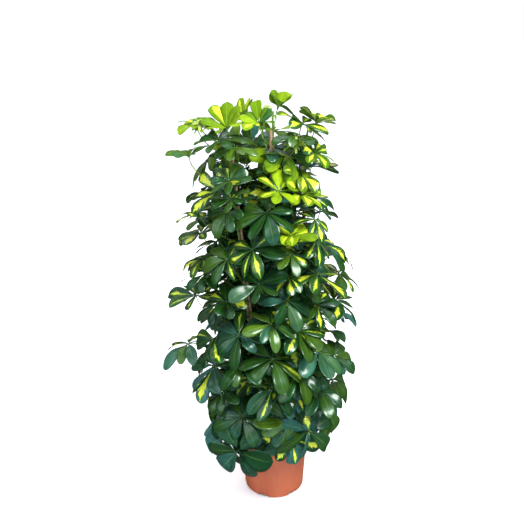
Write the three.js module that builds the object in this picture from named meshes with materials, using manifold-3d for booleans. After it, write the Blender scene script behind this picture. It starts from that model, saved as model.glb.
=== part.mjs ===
// A potted dwarf umbrella tree: four leafy stems tied to thin canes, standing in a filled nursery pot.
// Millimetres, +Z up. The pot rests on z = 0 and its axis is the Z axis. The front of the plant faces -Y.

import * as THREE from 'three';
import { mergeVertices } from 'three/addons/utils/BufferGeometryUtils.js';
import Module from 'manifold-3d';

const wasm = await Module();
wasm.setup();

// ---------------------------------------------------------------- sizes

const POT_HEIGHT = 200;
const POT_BASE_RADIUS = 107;
const POT_RIM_RADIUS = 120;
const POT_WALL = 2.6;
const POT_FLOOR = 3.2;
const RIM_DEPTH = 26;
const RIM_STEP = 2.4;
const FOOT_ROUNDING = 5;
const POT_SIDES = 28;
const DRAIN_COUNT = 6;
const DRAIN_RADIUS = 6;
const DRAIN_RING = 72;
const DRAIN_TURN = -0.38;
const NOTCH_WIDTH = 36;
const NOTCH_HEIGHT = 9;
const NOTCH_FROM = 95;

const SOIL_TOP = 176;
const FIT_GAP = 0.35;
const HOLE_FLOOR = 60;

const STEM_SIDES = 6;
const STEM_STEPS = 6;
const CANE_SIDES = 8;

// Each stem: foot, middle and tip of its centre line, and its radius at foot and tip.
const STEMS = [
  { name: 'leafy_stem_left', foot: [-44, -14], middle: [-92, -22, 700], tip: [-150, -20, 1262], radii: [7, 3] },
  { name: 'leafy_stem_front', foot: [4, -46], middle: [0, -60, 740], tip: [-14, -66, 1330], radii: [7, 3.2] },
  { name: 'leafy_stem_right', foot: [48, 4], middle: [76, 6, 680], tip: [92, 4, 1270], radii: [6.5, 3.2] },
  { name: 'leafy_stem_back', foot: [-6, 48], middle: [-16, 92, 700], tip: [-44, 98, 1290], radii: [7, 3.2] },
];

// Each cane: the stem it holds, the side it stands on, its length above the hole floor and its radius.
const CANES = [
  { name: 'cane_left', stem: 0, side: [0.95, -0.3], top: 1235, radius: 4.2, ties: [420, 1040] },
  { name: 'cane_front', stem: 1, side: [-0.75, -0.66], top: 1300, radius: 4.8, ties: [460, 1120] },
  { name: 'cane_right', stem: 2, side: [0.25, -1], top: 1120, radius: 4.2, ties: [380, 960] },
];
const CANE_STANDOFF = 2.2;
const TIE_HEIGHT = 5;
const TIE_WALL = 1.4;
const TIE_STEPS = 3;

// Half-width of the ring of leaf hubs, and the column's middle in x, at each height.
const COLUMN = [
  [150, 150], [250, 192], [400, 210], [700, 218], [900, 206],
  [1100, 182], [1250, 168], [1330, 140], [1390, 80],
];
const MIDDLE = [[200, 0], [700, -22], [1000, -42], [1300, -62]];
const COLUMN_DEPTH = 0.94;

// How steeply the leaflets of an open leaf leave its hub.
const OPEN_LIFT = 0.2;

// Leaves of the open crown: x, height and y of their hubs in centimetres, and how steeply their
// leaflets rise. The first is the young leaf that stands above all others.
const CROWN_LEAVES = [
  [0, 136, -5, 1.15], [-24, 131, -4, 0.3], [-15, 130, -8, 0.5], [-10, 132, -1, 0.8], [-6, 131, -9, 0.6],
  [7, 132, -6, 0.35], [7, 127, -9, 0.1], [-17, 127, -9, 0.1], [-12, 128, -12, 0.3], [-26, 123, -5, 0.5],
  [-20, 114, -8, 0.25], [10, 123, -6, 0.4], [8, 117, -9, 0.45], [7, 113, -13, 0.3], [13, 111, -8, 0.2],
  [-9, 119, -15, 0.4], [-8, 124, -4, 0.3], [-24, 105, -8, 0.2], [-9, 111, -17, 0.5], [11, 131, -3, 0.8],
  [8, 108, -13, 0.05], [12, 100, -11, 0.2], [-1, 113, -17, 0.1], [-3, 107, -18, 0.2], [-15, 107, -16, 0.2],
];

// Leaves on the front of the column, as x and height of their hubs in centimetres: the lowest
// ones, which hang round the pot, then the rest from the top down.
const FRONT_LEAVES = [
  [-17, 29], [-11, 28], [5, 31], [-4, 31], [-19, 33], [-6, 35], [9, 33], [1, 38], [-22, 32], [8, 38],
  [1, 103], [14, 96], [-8, 99], [-24, 96], [19, 92], [6, 96], [-14, 92], [0, 91], [12, 88], [-22, 86],
  [-7, 85], [20, 82], [5, 82], [-15, 79], [-26, 74], [13, 76], [-2, 75], [-10, 70], [20, 70], [6, 69],
  [-20, 65], [-29, 56], [0, 63], [13, 62], [-11, 60], [-20, 54], [6, 56], [19, 56], [-3, 52], [-13, 48],
  [12, 49], [-22, 43], [3, 46], [21, 42], [-8, 41], [-16, 38], [-25, 35], [18, 35],
];

const GOLDEN = 137.507764 * Math.PI / 180;
const FILL_COUNT = 220;
const FILL_FROM = 262;
const FILL_TO = 1330;
const FILL_SPACING = 75;
const OPEN_FROM = 1040;
const INNER_COUNT = 10;
const INNER_REACH = 0.56;
const TRIES = 26;
const LEAF_SEED = 139623;
const LEAF_CLEARANCE = 0.35;

const BLADE_HALF = 0.8;
const HUB_DEPTH = 3;
const PETIOLE_RADIUS = 1.9;
const PETIOLE_STEPS = 2;

// ---------------------------------------------------------------- numbers

// A repeatable stream of numbers from 0 to 1.
function draw(seed) {
  let state = seed >>> 0;
  return () => {
    state = (state + 0x6d2b79f5) >>> 0;
    let t = state;
    t = Math.imul(t ^ (t >>> 15), t | 1);
    t ^= t + Math.imul(t ^ (t >>> 7), t | 61);
    return ((t ^ (t >>> 14)) >>> 0) / 4294967296;
  };
}

// The value at x on a line through the given points.
function along(points, x) {
  if (x <= points[0][0]) {
    return points[0][1];
  }
  for (let i = 1; i < points.length; i += 1) {
    const [x0, y0] = points[i - 1];
    const [x1, y1] = points[i];
    if (x <= x1) {
      return y0 + (y1 - y0) * (x - x0) / (x1 - x0);
    }
  }
  return points[points.length - 1][1];
}

function clamp(value, low, high) {
  return Math.min(high, Math.max(low, value));
}

const vec = (x, y, z) => new THREE.Vector3(x, y, z);
const UP = vec(0, 0, 1);

// ---------------------------------------------------------------- solids

function solidOf(points, triangles) {
  const vertProperties = new Float32Array(points.length * 3);
  points.forEach((p, i) => vertProperties.set([p.x, p.y, p.z], i * 3));
  const triVerts = new Uint32Array(triangles.flat());
  return new wasm.Manifold(new wasm.Mesh({ numProp: 3, vertProperties, triVerts }));
}

function solidOfGeometry(geometry) {
  const bare = geometry.clone();
  bare.deleteAttribute('normal');
  bare.deleteAttribute('uv');
  const merged = mergeVertices(bare, 1e-4);
  const mesh = new wasm.Mesh({
    numProp: 3,
    vertProperties: new Float32Array(merged.attributes.position.array),
    triVerts: new Uint32Array(merged.index.array),
  });
  return new wasm.Manifold(mesh);
}

function geometryOf(solid) {
  const mesh = solid.getMesh();
  const geometry = new THREE.BufferGeometry();
  geometry.setAttribute('position', new THREE.BufferAttribute(new Float32Array(mesh.vertProperties), 3));
  geometry.setIndex(new THREE.BufferAttribute(new Uint32Array(mesh.triVerts), 1));
  geometry.computeVertexNormals();
  return geometry;
}

// A closed tube with flat ends through the given centres, from the last one up to the first.
function tubePoints(centres, radii, sides, across) {
  const points = [];
  centres.forEach((centre, i) => {
    const above = centres[Math.max(i - 1, 0)];
    const below = centres[Math.min(i + 1, centres.length - 1)];
    const axis = above.clone().sub(below).normalize();
    const a = across.clone().addScaledVector(axis, -across.dot(axis)).normalize();
    const b = axis.clone().cross(a);
    for (let k = 0; k < sides; k += 1) {
      const turn = 2 * Math.PI * k / sides;
      const rim = centre.clone();
      rim.addScaledVector(a, radii[i] * Math.cos(turn));
      rim.addScaledVector(b, radii[i] * Math.sin(turn));
      points.push(rim);
    }
  });
  return points;
}

function tubeWalls(rings, sides, start) {
  const triangles = [];
  for (let j = 0; j < rings - 1; j += 1) {
    for (let k = 0; k < sides; k += 1) {
      const next = (k + 1) % sides;
      const upper = start + j * sides;
      const lower = upper + sides;
      triangles.push([upper + k, lower + k, lower + next]);
      triangles.push([upper + k, lower + next, upper + next]);
    }
  }
  return triangles;
}

function tubeCap(first, sides, facingUp) {
  const triangles = [];
  for (let k = 1; k < sides - 1; k += 1) {
    triangles.push(facingUp ? [first, first + k, first + k + 1] : [first, first + k + 1, first + k]);
  }
  return triangles;
}

function tube(centres, radii, sides, across) {
  const points = tubePoints(centres, radii, sides, across);
  const last = (centres.length - 1) * sides;
  const walls = tubeWalls(centres.length, sides, 0);
  const caps = [...tubeCap(0, sides, true), ...tubeCap(last, sides, false)];
  return solidOf(points, [...walls, ...caps]);
}

// ---------------------------------------------------------------- stems and canes

// The stem's centre at a height: a bow through its foot, middle and tip.
function stemAt(stem, z) {
  const [mx, my, mz] = stem.middle;
  const [tx, ty, tz] = stem.tip;
  const t = (z - SOIL_TOP) / (tz - SOIL_TOP);
  const m = (mz - SOIL_TOP) / (tz - SOIL_TOP);
  const bend = t * (1 - t) / (m * (1 - m));
  const x = stem.foot[0] + (tx - stem.foot[0]) * t + bend * (mx - stem.foot[0] - (tx - stem.foot[0]) * m);
  const y = stem.foot[1] + (ty - stem.foot[1]) * t + bend * (my - stem.foot[1] - (ty - stem.foot[1]) * m);
  return vec(x, y, z);
}

function stemRadius(stem, z) {
  const t = clamp((z - SOIL_TOP) / (stem.tip[2] - SOIL_TOP), 0, 1);
  return stem.radii[0] + (stem.radii[1] - stem.radii[0]) * t;
}

function stemTube(stem, floor, extra) {
  const centres = [];
  const radii = [];
  for (let i = 0; i <= STEM_STEPS; i += 1) {
    const z = stem.tip[2] + (floor - stem.tip[2]) * i / STEM_STEPS;
    centres.push(stemAt(stem, z));
    radii.push(stemRadius(stem, z) + extra);
  }
  return tube(centres, radii, STEM_SIDES, vec(1, 0, 0));
}

// A cane is straight: it stands beside its stem at the lower tie and at the upper tie.
function caneLine(cane) {
  const stem = STEMS[cane.stem];
  const side = vec(cane.side[0], cane.side[1], 0).normalize();
  const [low, high] = cane.ties.map((z) => {
    const reach = stemRadius(stem, z) + cane.radius + CANE_STANDOFF;
    return stemAt(stem, z).addScaledVector(side, reach);
  });
  return (z) => low.clone().lerp(high, (z - low.z) / (high.z - low.z));
}

function caneTube(cane, floor, extra) {
  const line = caneLine(cane);
  const radius = cane.radius + extra;
  return tube([line(cane.top), line(floor)], [radius * 0.9, radius], CANE_SIDES, vec(1, 0, 0));
}

// A tie is an upright oval band round the stem and its cane.
function tieSolid(cane, z) {
  const stem = STEMS[cane.stem];
  const a = stemAt(stem, z);
  const b = caneLine(cane)(z);
  const heading = Math.atan2(b.y - a.y, b.x - a.x);
  const span = Math.hypot(b.x - a.x, b.y - a.y);
  const slack = 1 / Math.cos(Math.PI / 2 / TIE_STEPS);
  const stemR = (stemRadius(stem, z) + FIT_GAP) * slack;
  const caneR = (cane.radius + FIT_GAP) * slack;
  const outline = (grow) => {
    const path = [];
    for (let i = 0; i <= TIE_STEPS; i += 1) {
      const turn = -Math.PI / 2 + Math.PI * i / TIE_STEPS;
      path.push(new THREE.Vector2(span + (caneR + grow) * Math.cos(turn), (caneR + grow) * Math.sin(turn)));
    }
    for (let i = 0; i <= TIE_STEPS; i += 1) {
      const turn = Math.PI / 2 + Math.PI * i / TIE_STEPS;
      path.push(new THREE.Vector2((stemR + grow) * Math.cos(turn), (stemR + grow) * Math.sin(turn)));
    }
    return path;
  };
  const shape = new THREE.Shape(outline(TIE_WALL));
  shape.holes.push(new THREE.Path(outline(0)));
  const band = new THREE.ExtrudeGeometry(shape, { depth: TIE_HEIGHT, bevelEnabled: false, curveSegments: 1 });
  band.translate(0, 0, -TIE_HEIGHT / 2);
  band.rotateZ(heading);
  band.translate(a.x, a.y, z);
  return solidOfGeometry(band);
}

// ---------------------------------------------------------------- leaves

// Where each leaf's hub belongs: its turn round the column, its height and how far out it reaches.
function crownSpots() {
  return CROWN_LEAVES.map(([xcm, zcm, ycm, lift], i) => {
    const z = zcm * 10;
    const off = xcm * 10 - along(MIDDLE, z);
    const front = -ycm * 10 / COLUMN_DEPTH;
    const reach = Math.hypot(off, front) / along(COLUMN, z);
    return { turn: Math.atan2(off, front), z, reach, leaflets: 5 + (i % 2), lift };
  });
}

function frontSpots() {
  return FRONT_LEAVES.map(([xcm, zcm], i) => {
    const z = zcm * 10;
    const off = xcm * 10 - along(MIDDLE, z);
    const ring = along(COLUMN, z);
    const turn = Math.asin(clamp(off / ring, -1, 1));
    return { turn, z, reach: Math.max(1, Math.abs(off) / ring), leaflets: 5 + (i % 2), lift: OPEN_LIFT };
  });
}

function spotPoint(spot) {
  const ring = along(COLUMN, spot.z) * spot.reach;
  const x = along(MIDDLE, spot.z) + ring * Math.sin(spot.turn);
  return vec(x, -ring * COLUMN_DEPTH * Math.cos(spot.turn), spot.z);
}

function fillSpots(taken) {
  const spots = [];
  for (let i = 0; i < FILL_COUNT; i += 1) {
    const z = FILL_FROM + (FILL_TO - FILL_FROM) * (i + 0.5) / FILL_COUNT;
    const sparse = z > OPEN_FROM && i % 3 === 0;
    const reach = 0.84 + 0.24 * draw(70 + i)();
    const spot = { turn: (i * GOLDEN) % (2 * Math.PI), z, reach, leaflets: 5, lift: OPEN_LIFT };
    const point = spotPoint(spot);
    const near = [...taken, ...spots].some((other) => spotPoint(other).distanceTo(point) < FILL_SPACING);
    if (!sparse && !near) {
      spots.push(spot);
    }
  }
  return spots;
}

function innerSpots() {
  const spots = [];
  for (let i = 0; i < INNER_COUNT; i += 1) {
    const z = 300 + 940 * (i + 0.5) / INNER_COUNT;
    const turn = (i * GOLDEN + 1) % (2 * Math.PI);
    spots.push({ turn, z, reach: INNER_REACH, leaflets: 5, lift: OPEN_LIFT });
  }
  return spots;
}

function leafLength(z) {
  return along([[200, 126], [330, 112], [450, 102], [900, 95], [1100, 90], [1250, 84], [1400, 76]], z);
}

// One leaf as tried for the given time: later tries wander further and are a little smaller.
function leafPose(spot, index, attempt) {
  const rnd = draw(LEAF_SEED + index * 131 + attempt * 17);
  const wander = 0.35 + attempt * 0.055;
  const moved = {
    turn: spot.turn + (rnd() - 0.5) * 0.42 * wander,
    z: spot.z + (rnd() - 0.5) * 60 * wander,
    reach: spot.reach * (1 + (rnd() - 0.5) * 0.28 * wander),
  };
  const hub = spotPoint(moved);
  const crown = clamp((hub.z - 1080) / 260, 0, 1);
  const skirt = clamp((430 - hub.z) / 130, 0, 1);
  const rise = (60 + 12 * crown - 40 * skirt + (rnd() - 0.5) * 38) * Math.PI / 180;
  const swing = moved.turn + (rnd() - 0.5) * 0.9;
  const out = vec(Math.sin(swing), -Math.cos(swing), 0);
  const normal = out.clone().multiplyScalar(Math.cos(rise)).addScaledVector(UP, Math.sin(rise));
  const young = clamp((spot.lift - 0.6) / 0.5, 0, 1);
  const size = leafLength(hub.z) * (1.04 + (rnd() - 0.5) * 0.34) * (1 - 0.01 * attempt) * (1 - 0.3 * young);
  const twist = rnd() * 2 * Math.PI;
  const droop = 0.16 + rnd() * 0.22 - 0.06 * crown + 0.16 * skirt;
  const drop = 70 + rnd() * 60;
  const lift = spot.lift + (rnd() - 0.5) * 0.3;
  return { hub, normal, size, twist, droop, drop, lift, leaflets: spot.leaflets, seed: rnd() };
}

// The stem whose wood is nearest in direction to the hub carries the leaf.
function carrier(hub) {
  let best = 0;
  let least = Infinity;
  STEMS.forEach((stem, i) => {
    const z = Math.min(hub.z - 60, stem.tip[2] - 6);
    const wood = stemAt(stem, z);
    const far = Math.hypot(hub.x - wood.x, hub.y - wood.y) + Math.max(0, hub.z - 90 - stem.tip[2]);
    if (far < least) {
      least = far;
      best = i;
    }
  });
  return best;
}

// Centres of the leaf stalk, from just under the hub down to its seat inside the stem.
function petioleCentres(pose, stem) {
  const seatZ = clamp(pose.hub.z - pose.drop, SOIL_TOP + 24, stem.tip[2] - 8);
  const seat = stemAt(stem, seatZ);
  const top = pose.hub.clone().addScaledVector(pose.normal, -HUB_DEPTH);
  const reach = top.distanceTo(seat);
  const bend = top.clone().addScaledVector(pose.normal, -0.42 * reach);
  const curve = new THREE.QuadraticBezierCurve3(top, bend, seat);
  const centres = [];
  for (let i = 0; i <= PETIOLE_STEPS; i += 1) {
    centres.push(curve.getPoint(i / PETIOLE_STEPS));
  }
  return centres;
}

// Corner points of one leaflet: across and along as shares of its length, heights follow its arch.
const OUTLINE = [[0.54, -0.235], [0.92, -0.165], [0.92, 0.165], [0.54, 0.235]];
const MIDRIB = 0.56;
const EDGE_DROP = 0.17;
const VALLEY = 0.105;

function leafFrame(pose) {
  const side = UP.clone().cross(pose.normal).normalize();
  const front = pose.normal.clone().cross(side);
  return { a: side, b: front, n: pose.normal };
}

function leafletLength(pose, i) {
  const rnd = draw(Math.floor(pose.seed * 1e6) + i * 7);
  return pose.size * (0.86 + 0.22 * rnd());
}

function bladePoint(pose, frame, angle, length, u, v, w) {
  const s = u * length / Math.hypot(1, pose.lift);
  const height = pose.lift * s - pose.droop * s * u + w;
  const radial = frame.a.clone().multiplyScalar(Math.cos(angle)).addScaledVector(frame.b, Math.sin(angle));
  const lateral = frame.a.clone().multiplyScalar(-Math.sin(angle)).addScaledVector(frame.b, Math.cos(angle));
  const point = pose.hub.clone().addScaledVector(radial, s);
  point.addScaledVector(lateral, v * length);
  point.addScaledVector(frame.n, height - EDGE_DROP * Math.abs(v) * length);
  return point;
}

// One whole leaf: a wheel of leaflets with both faces cut alike, on a three-sided stalk.
function leafSolid(pose, stem) {
  const frame = leafFrame(pose);
  const count = pose.leaflets;
  const half = Math.PI / count;
  const points = [pose.hub.clone().addScaledVector(frame.n, BLADE_HALF)];
  const triangles = [];
  for (let i = 0; i < count; i += 1) {
    const angle = pose.twist + 2 * half * i;
    const length = leafletLength(pose, i);
    points.push(bladePoint(pose, frame, angle - half, pose.size, VALLEY, 0, 0));
    points.push(bladePoint(pose, frame, angle, length, MIDRIB, 0, BLADE_HALF));
    points.push(bladePoint(pose, frame, angle, length, MIDRIB, 0, -BLADE_HALF));
    OUTLINE.forEach(([u, v]) => points.push(bladePoint(pose, frame, angle, length, u, v, 0)));
  }
  const valley = (i) => 1 + 7 * (i % count);
  for (let i = 0; i < count; i += 1) {
    const [v, top, under, r, tr, tl, l] = [0, 1, 2, 3, 4, 5, 6].map((k) => valley(i) + k);
    const w = valley(i + 1);
    triangles.push([top, v, r], [top, r, tr], [top, tr, tl], [top, tl, l]);
    triangles.push([top, l, w], [top, w, 0], [top, 0, v]);
    triangles.push([under, r, v], [under, tr, r], [under, tl, tr], [under, l, tl], [under, w, l]);
  }
  const centres = petioleCentres(pose, stem);
  const radii = centres.map((_, i) => PETIOLE_RADIUS * (1 + 0.35 * i / PETIOLE_STEPS));
  const across = frame.a.clone().multiplyScalar(Math.cos(pose.twist));
  across.addScaledVector(frame.b, Math.sin(pose.twist));
  const start = points.length;
  points.push(...tubePoints(centres, radii, 3, across));
  triangles.push(...tubeWalls(centres.length, 3, start));
  triangles.push(...tubeCap(start + 3 * PETIOLE_STEPS, 3, false));
  const outer = (s) => valley(Math.floor(s / 2)) + (s % 2 === 0 ? 0 : 2);
  const ringOf = (s) => (Math.round((s - 0.5) * half / (2 * Math.PI / 3)) + 3) % 3;
  for (let s = 0; s < 2 * count; s += 1) {
    const here = start + ringOf(s);
    const next = start + ringOf((s + 1) % (2 * count));
    triangles.push([here, outer(s + 1), outer(s)]);
    if (next !== here) {
      triangles.push([here, next, outer(s + 1)]);
    }
  }
  return solidOf(points, triangles);
}

// ---------------------------------------------------------------- pot and soil

function lathe(profile, sides) {
  const geometry = new THREE.LatheGeometry(profile.map(([r, z]) => new THREE.Vector2(r, z)), sides);
  geometry.rotateX(Math.PI / 2);
  const solid = solidOfGeometry(geometry);
  return solid.volume() > 0 ? solid : solidOfGeometry(flipped(geometry));
}

function flipped(geometry) {
  const copy = geometry.clone();
  const index = copy.index.array;
  for (let i = 0; i < index.length; i += 3) {
    [index[i + 1], index[i + 2]] = [index[i + 2], index[i + 1]];
  }
  return copy;
}

function wallRadius(z) {
  return POT_BASE_RADIUS + (POT_RIM_RADIUS - RIM_STEP - POT_BASE_RADIUS) * z / POT_HEIGHT;
}

function potSolid() {
  const under = POT_HEIGHT - RIM_DEPTH;
  const profile = [
    [0, 0],
    [POT_BASE_RADIUS - FOOT_ROUNDING, 0],
    [POT_BASE_RADIUS - FOOT_ROUNDING * 0.3, FOOT_ROUNDING * 0.3],
    [wallRadius(FOOT_ROUNDING), FOOT_ROUNDING],
    [wallRadius(under), under],
    [wallRadius(under) + RIM_STEP, under + 1.5],
    [POT_RIM_RADIUS, POT_HEIGHT - 2],
    [POT_RIM_RADIUS - 1.2, POT_HEIGHT],
    [POT_RIM_RADIUS - POT_WALL - 1, POT_HEIGHT],
    [wallRadius(under) - POT_WALL, under - 3],
    [wallRadius(POT_FLOOR) - POT_WALL, POT_FLOOR],
    [0, POT_FLOOR],
  ];
  let pot = lathe(profile, POT_SIDES);
  for (let i = 0; i < DRAIN_COUNT; i += 1) {
    const turn = 2 * Math.PI * i / DRAIN_COUNT - Math.PI / 2 + DRAIN_TURN;
    const hole = new THREE.CylinderGeometry(DRAIN_RADIUS, DRAIN_RADIUS, 4 * POT_FLOOR, 8);
    hole.rotateX(Math.PI / 2);
    hole.translate(DRAIN_RING * Math.cos(turn), DRAIN_RING * Math.sin(turn), 0);
    pot = pot.subtract(solidOfGeometry(hole));
    const middle = POT_BASE_RADIUS + 8;
    const notch = new THREE.BoxGeometry(2 * (middle - NOTCH_FROM), NOTCH_WIDTH, 2 * NOTCH_HEIGHT);
    notch.translate(middle, 0, 0);
    notch.rotateZ(turn);
    pot = pot.subtract(solidOfGeometry(notch));
  }
  return pot;
}

function soilSolid() {
  const under = POT_HEIGHT - RIM_DEPTH;
  const inner = (z) => wallRadius(z) - POT_WALL - FIT_GAP;
  const profile = [
    [0, POT_FLOOR + FIT_GAP],
    [inner(POT_FLOOR) - 0.4, POT_FLOOR + FIT_GAP],
    [inner(under - 3), under - 4],
    [inner(under - 3) - 3, SOIL_TOP - 5],
    [80, SOIL_TOP],
    [34, SOIL_TOP + 3],
    [0, SOIL_TOP + 1],
  ];
  let soil = lathe(profile, POT_SIDES);
  STEMS.forEach((stem) => {
    soil = soil.subtract(stemTube(stem, HOLE_FLOOR - FIT_GAP, 0.5));
  });
  CANES.forEach((cane) => {
    soil = soil.subtract(caneTube(cane, HOLE_FLOOR - FIT_GAP, 0.5));
  });
  return soil;
}

// ---------------------------------------------------------------- assembly

function boxesMeet(a, b, margin) {
  for (let k = 0; k < 3; k += 1) {
    if (a.min[k] > b.max[k] + margin || b.min[k] > a.max[k] + margin) {
      return false;
    }
  }
  return true;
}

function clearOf(leaf, box, others) {
  return others.every((other) => {
    if (!boxesMeet(box, other.box, LEAF_CLEARANCE)) {
      return true;
    }
    return leaf.minGap(other.solid, LEAF_CLEARANCE * 2) > LEAF_CLEARANCE;
  });
}

function growLeaves(woods, fixed) {
  const shown = [...crownSpots(), ...frontSpots()];
  const spots = [...shown, ...fillSpots(shown), ...innerSpots()];
  const placed = [];
  spots.forEach((spot, index) => {
    for (let attempt = 0; attempt < TRIES; attempt += 1) {
      const pose = leafPose(spot, index, attempt);
      const owner = carrier(pose.hub);
      const solid = leafSolid(pose, STEMS[owner]);
      const box = solid.boundingBox();
      const foreign = woods.filter((wood) => wood.owner !== owner);
      if (clearOf(solid, box, foreign) && clearOf(solid, box, fixed) && clearOf(solid, box, placed)) {
        placed.push({ solid, box, owner, index, attempt });
        return;
      }
    }
  });
  return placed;
}

function withBox(solid, owner) {
  return { solid, box: solid.boundingBox(), owner };
}

function meshOf(name, solid, color, roughness) {
  const material = new THREE.MeshStandardMaterial({ color, roughness, metalness: 0 });
  const mesh = new THREE.Mesh(geometryOf(solid), material);
  mesh.name = name;
  return mesh;
}

function plant() {
  const group = new THREE.Group();
  const pot = potSolid();
  const soil = soilSolid();
  const canes = CANES.map((cane) => caneTube(cane, HOLE_FLOOR, 0));
  const ties = CANES.flatMap((cane) => cane.ties.map((z) => tieSolid(cane, z)));
  const woods = STEMS.map((stem, i) => withBox(stemTube(stem, HOLE_FLOOR, 0), i));
  const fixed = [pot, soil, ...canes, ...ties].map((solid) => withBox(solid, -1));
  const leaves = growLeaves(woods, fixed);
  group.add(meshOf('pot', pot, 0xc96f55, 0.55));
  group.add(meshOf('soil', soil, 0x3a2a20, 0.95));
  CANES.forEach((cane, i) => group.add(meshOf(cane.name, canes[i], 0xb08a5c, 0.7)));
  ties.forEach((tie, i) => {
    const cane = CANES[Math.floor(i / 2)];
    group.add(meshOf(`tie_${cane.name.slice(5)}_${i % 2 === 0 ? 'lower' : 'upper'}`, tie, 0x35603a, 0.6));
  });
  STEMS.forEach((stem, i) => {
    const own = leaves.filter((leaf) => leaf.owner === i).map((leaf) => leaf.solid);
    const leafy = wasm.Manifold.union([woods[i].solid, ...own]);
    group.add(meshOf(stem.name, leafy, 0x3f7a33, 0.4));
  });
  return group;
}

export default plant();
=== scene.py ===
# %% [markdown]
# # A potted dwarf umbrella tree
# The plant is a column of glossy palmate leaves on four thin stems, tied to wooden canes in a
# terracotta-coloured nursery pot. The frame holds its true sizes: each step below dresses one of
# its pieces, and prints what it made.

# %% Start from the frame
import math
import bmesh
import bpy
import numpy as np
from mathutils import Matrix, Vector, noise
from mathutils.kdtree import KDTree


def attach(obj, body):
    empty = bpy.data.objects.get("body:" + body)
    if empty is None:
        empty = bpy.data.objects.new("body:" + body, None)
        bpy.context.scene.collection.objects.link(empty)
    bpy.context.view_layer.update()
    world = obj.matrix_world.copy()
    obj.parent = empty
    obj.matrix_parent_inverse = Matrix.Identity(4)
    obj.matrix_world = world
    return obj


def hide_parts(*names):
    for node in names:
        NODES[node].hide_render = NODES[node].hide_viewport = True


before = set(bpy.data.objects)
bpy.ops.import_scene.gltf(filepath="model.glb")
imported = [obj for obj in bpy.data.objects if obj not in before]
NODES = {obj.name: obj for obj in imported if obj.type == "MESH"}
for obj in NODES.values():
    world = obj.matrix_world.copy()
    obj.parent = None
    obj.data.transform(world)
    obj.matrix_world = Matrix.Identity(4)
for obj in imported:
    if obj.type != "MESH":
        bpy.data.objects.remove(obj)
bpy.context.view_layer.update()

STEM_NAMES = ["leafy_stem_left", "leafy_stem_front", "leafy_stem_right", "leafy_stem_back"]

# %% [markdown]
# ## Small helpers
# Colours are read as sRGB hex codes and turned into the linear numbers that shaders work in.
# One function adds a shader node with its settings and its inputs, so that each material below
# reads as a list of what it is made of. An input is a value, a socket or another node. Inputs
# that share a name are given by number: a colour Mix takes its share at 0 and its colours at 6
# and 7, and a MapRange takes its value at 0, the range it has at 1 and 2, and the new one at 3, 4.
# A texture's scale is worked out from the size in millimetres that its pattern has on the plant.

# %% Colour and shader helpers
def srgb(code):
    """The linear colour, with alpha, of an sRGB hex code."""
    parts = [int(code[i:i + 2], 16) / 255 for i in (1, 3, 5)]
    return tuple(c / 12.92 if c <= 0.04045 else ((c + 0.055) / 1.055) ** 2.4 for c in parts) + (1.0,)


def every(mm):
    """Texture scale, in cells per metre, that puts one cell every so many millimetres."""
    return 1000 / mm


def feed(tree, node, inputs):
    """Set or link a node's inputs; a node given as an input stands for its first socket in use."""
    for key, value in inputs.items():
        if isinstance(value, bpy.types.Node):
            value = next(socket for socket in value.outputs if socket.enabled)
        if isinstance(value, bpy.types.NodeSocket):
            tree.links.new(value, node.inputs[key])
        else:
            node.inputs[key].default_value = value


def add(tree, kind, inputs, **settings):
    """Add one shader node, with its settings and its inputs."""
    made = tree.nodes.new("ShaderNode" + kind)
    for key, value in settings.items():
        setattr(made, key, value)
    feed(tree, made, inputs)
    return made


def material(name, **fixed):
    """A material, its node tree and its shader, with values that are the same all over."""
    made = bpy.data.materials.new(name)
    made.use_nodes = True
    shader = made.node_tree.nodes["Principled BSDF"]
    for key, value in fixed.items():
        shader.inputs[key.replace("_", " ")].default_value = value
    return made, made.node_tree, shader


print("grey #808080 is", round(srgb("#808080")[0], 3), "in linear light; every 4 mm is", every(4), "a metre")

# %% Mesh helpers
def mesh_object(name, points, faces, materials, slots=None):
    """A smooth-shaded piece from points in metres."""
    mesh = bpy.data.meshes.new(name)
    mesh.from_pydata([tuple(p) for p in points], [], faces)
    for made in materials:
        mesh.materials.append(made)
    if slots is not None:
        mesh.polygons.foreach_set("material_index", slots)
    mesh.polygons.foreach_set("use_smooth", [True] * len(mesh.polygons))
    mesh.update()
    made = bpy.data.objects.new(name, mesh)
    bpy.context.scene.collection.objects.link(made)
    return made


def side_of(node):
    return node.split("_")[-1]


def place(made, node):
    """Let a piece ride on the plant's one body and stand in for its node of the frame."""
    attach(made, "root")
    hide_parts(node)
    return made


print("nodes to dress:", len(NODES), "stems:", [side_of(name) for name in STEM_NAMES])

# %% [markdown]
# ## The growth rule
# The frame's leaves were set by a rule: hubs stand on a slightly irregular column, each leaf
# takes the first of a series of tries that clears its neighbours, and its stalk seats in the
# nearest stem. Repeating that rule here, in millimetres, gives every leaf's exact pose, and the
# frame's own points tell which try was kept.

# %% Stems, and the column that the leaves fill
SOIL_TOP = 176
HOLE_FLOOR = 60
STEMS = [
    {"foot": (-44, -14), "middle": (-92, -22, 700), "tip": (-150, -20, 1262), "radii": (7, 3)},
    {"foot": (4, -46), "middle": (0, -60, 740), "tip": (-14, -66, 1330), "radii": (7, 3.2)},
    {"foot": (48, 4), "middle": (76, 6, 680), "tip": (92, 4, 1270), "radii": (6.5, 3.2)},
    {"foot": (-6, 48), "middle": (-16, 92, 700), "tip": (-44, 98, 1290), "radii": (7, 3.2)},
]
COLUMN = [(150, 150), (250, 192), (400, 210), (700, 218), (900, 206),
          (1100, 182), (1250, 168), (1330, 140), (1390, 80)]
MIDDLE = [(200, 0), (700, -22), (1000, -42), (1300, -62)]
COLUMN_DEPTH, OPEN_LIFT = 0.94, 0.2
print("stems:", len(STEMS), "column from", COLUMN[0][0], "to", COLUMN[-1][0], "mm")

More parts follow.
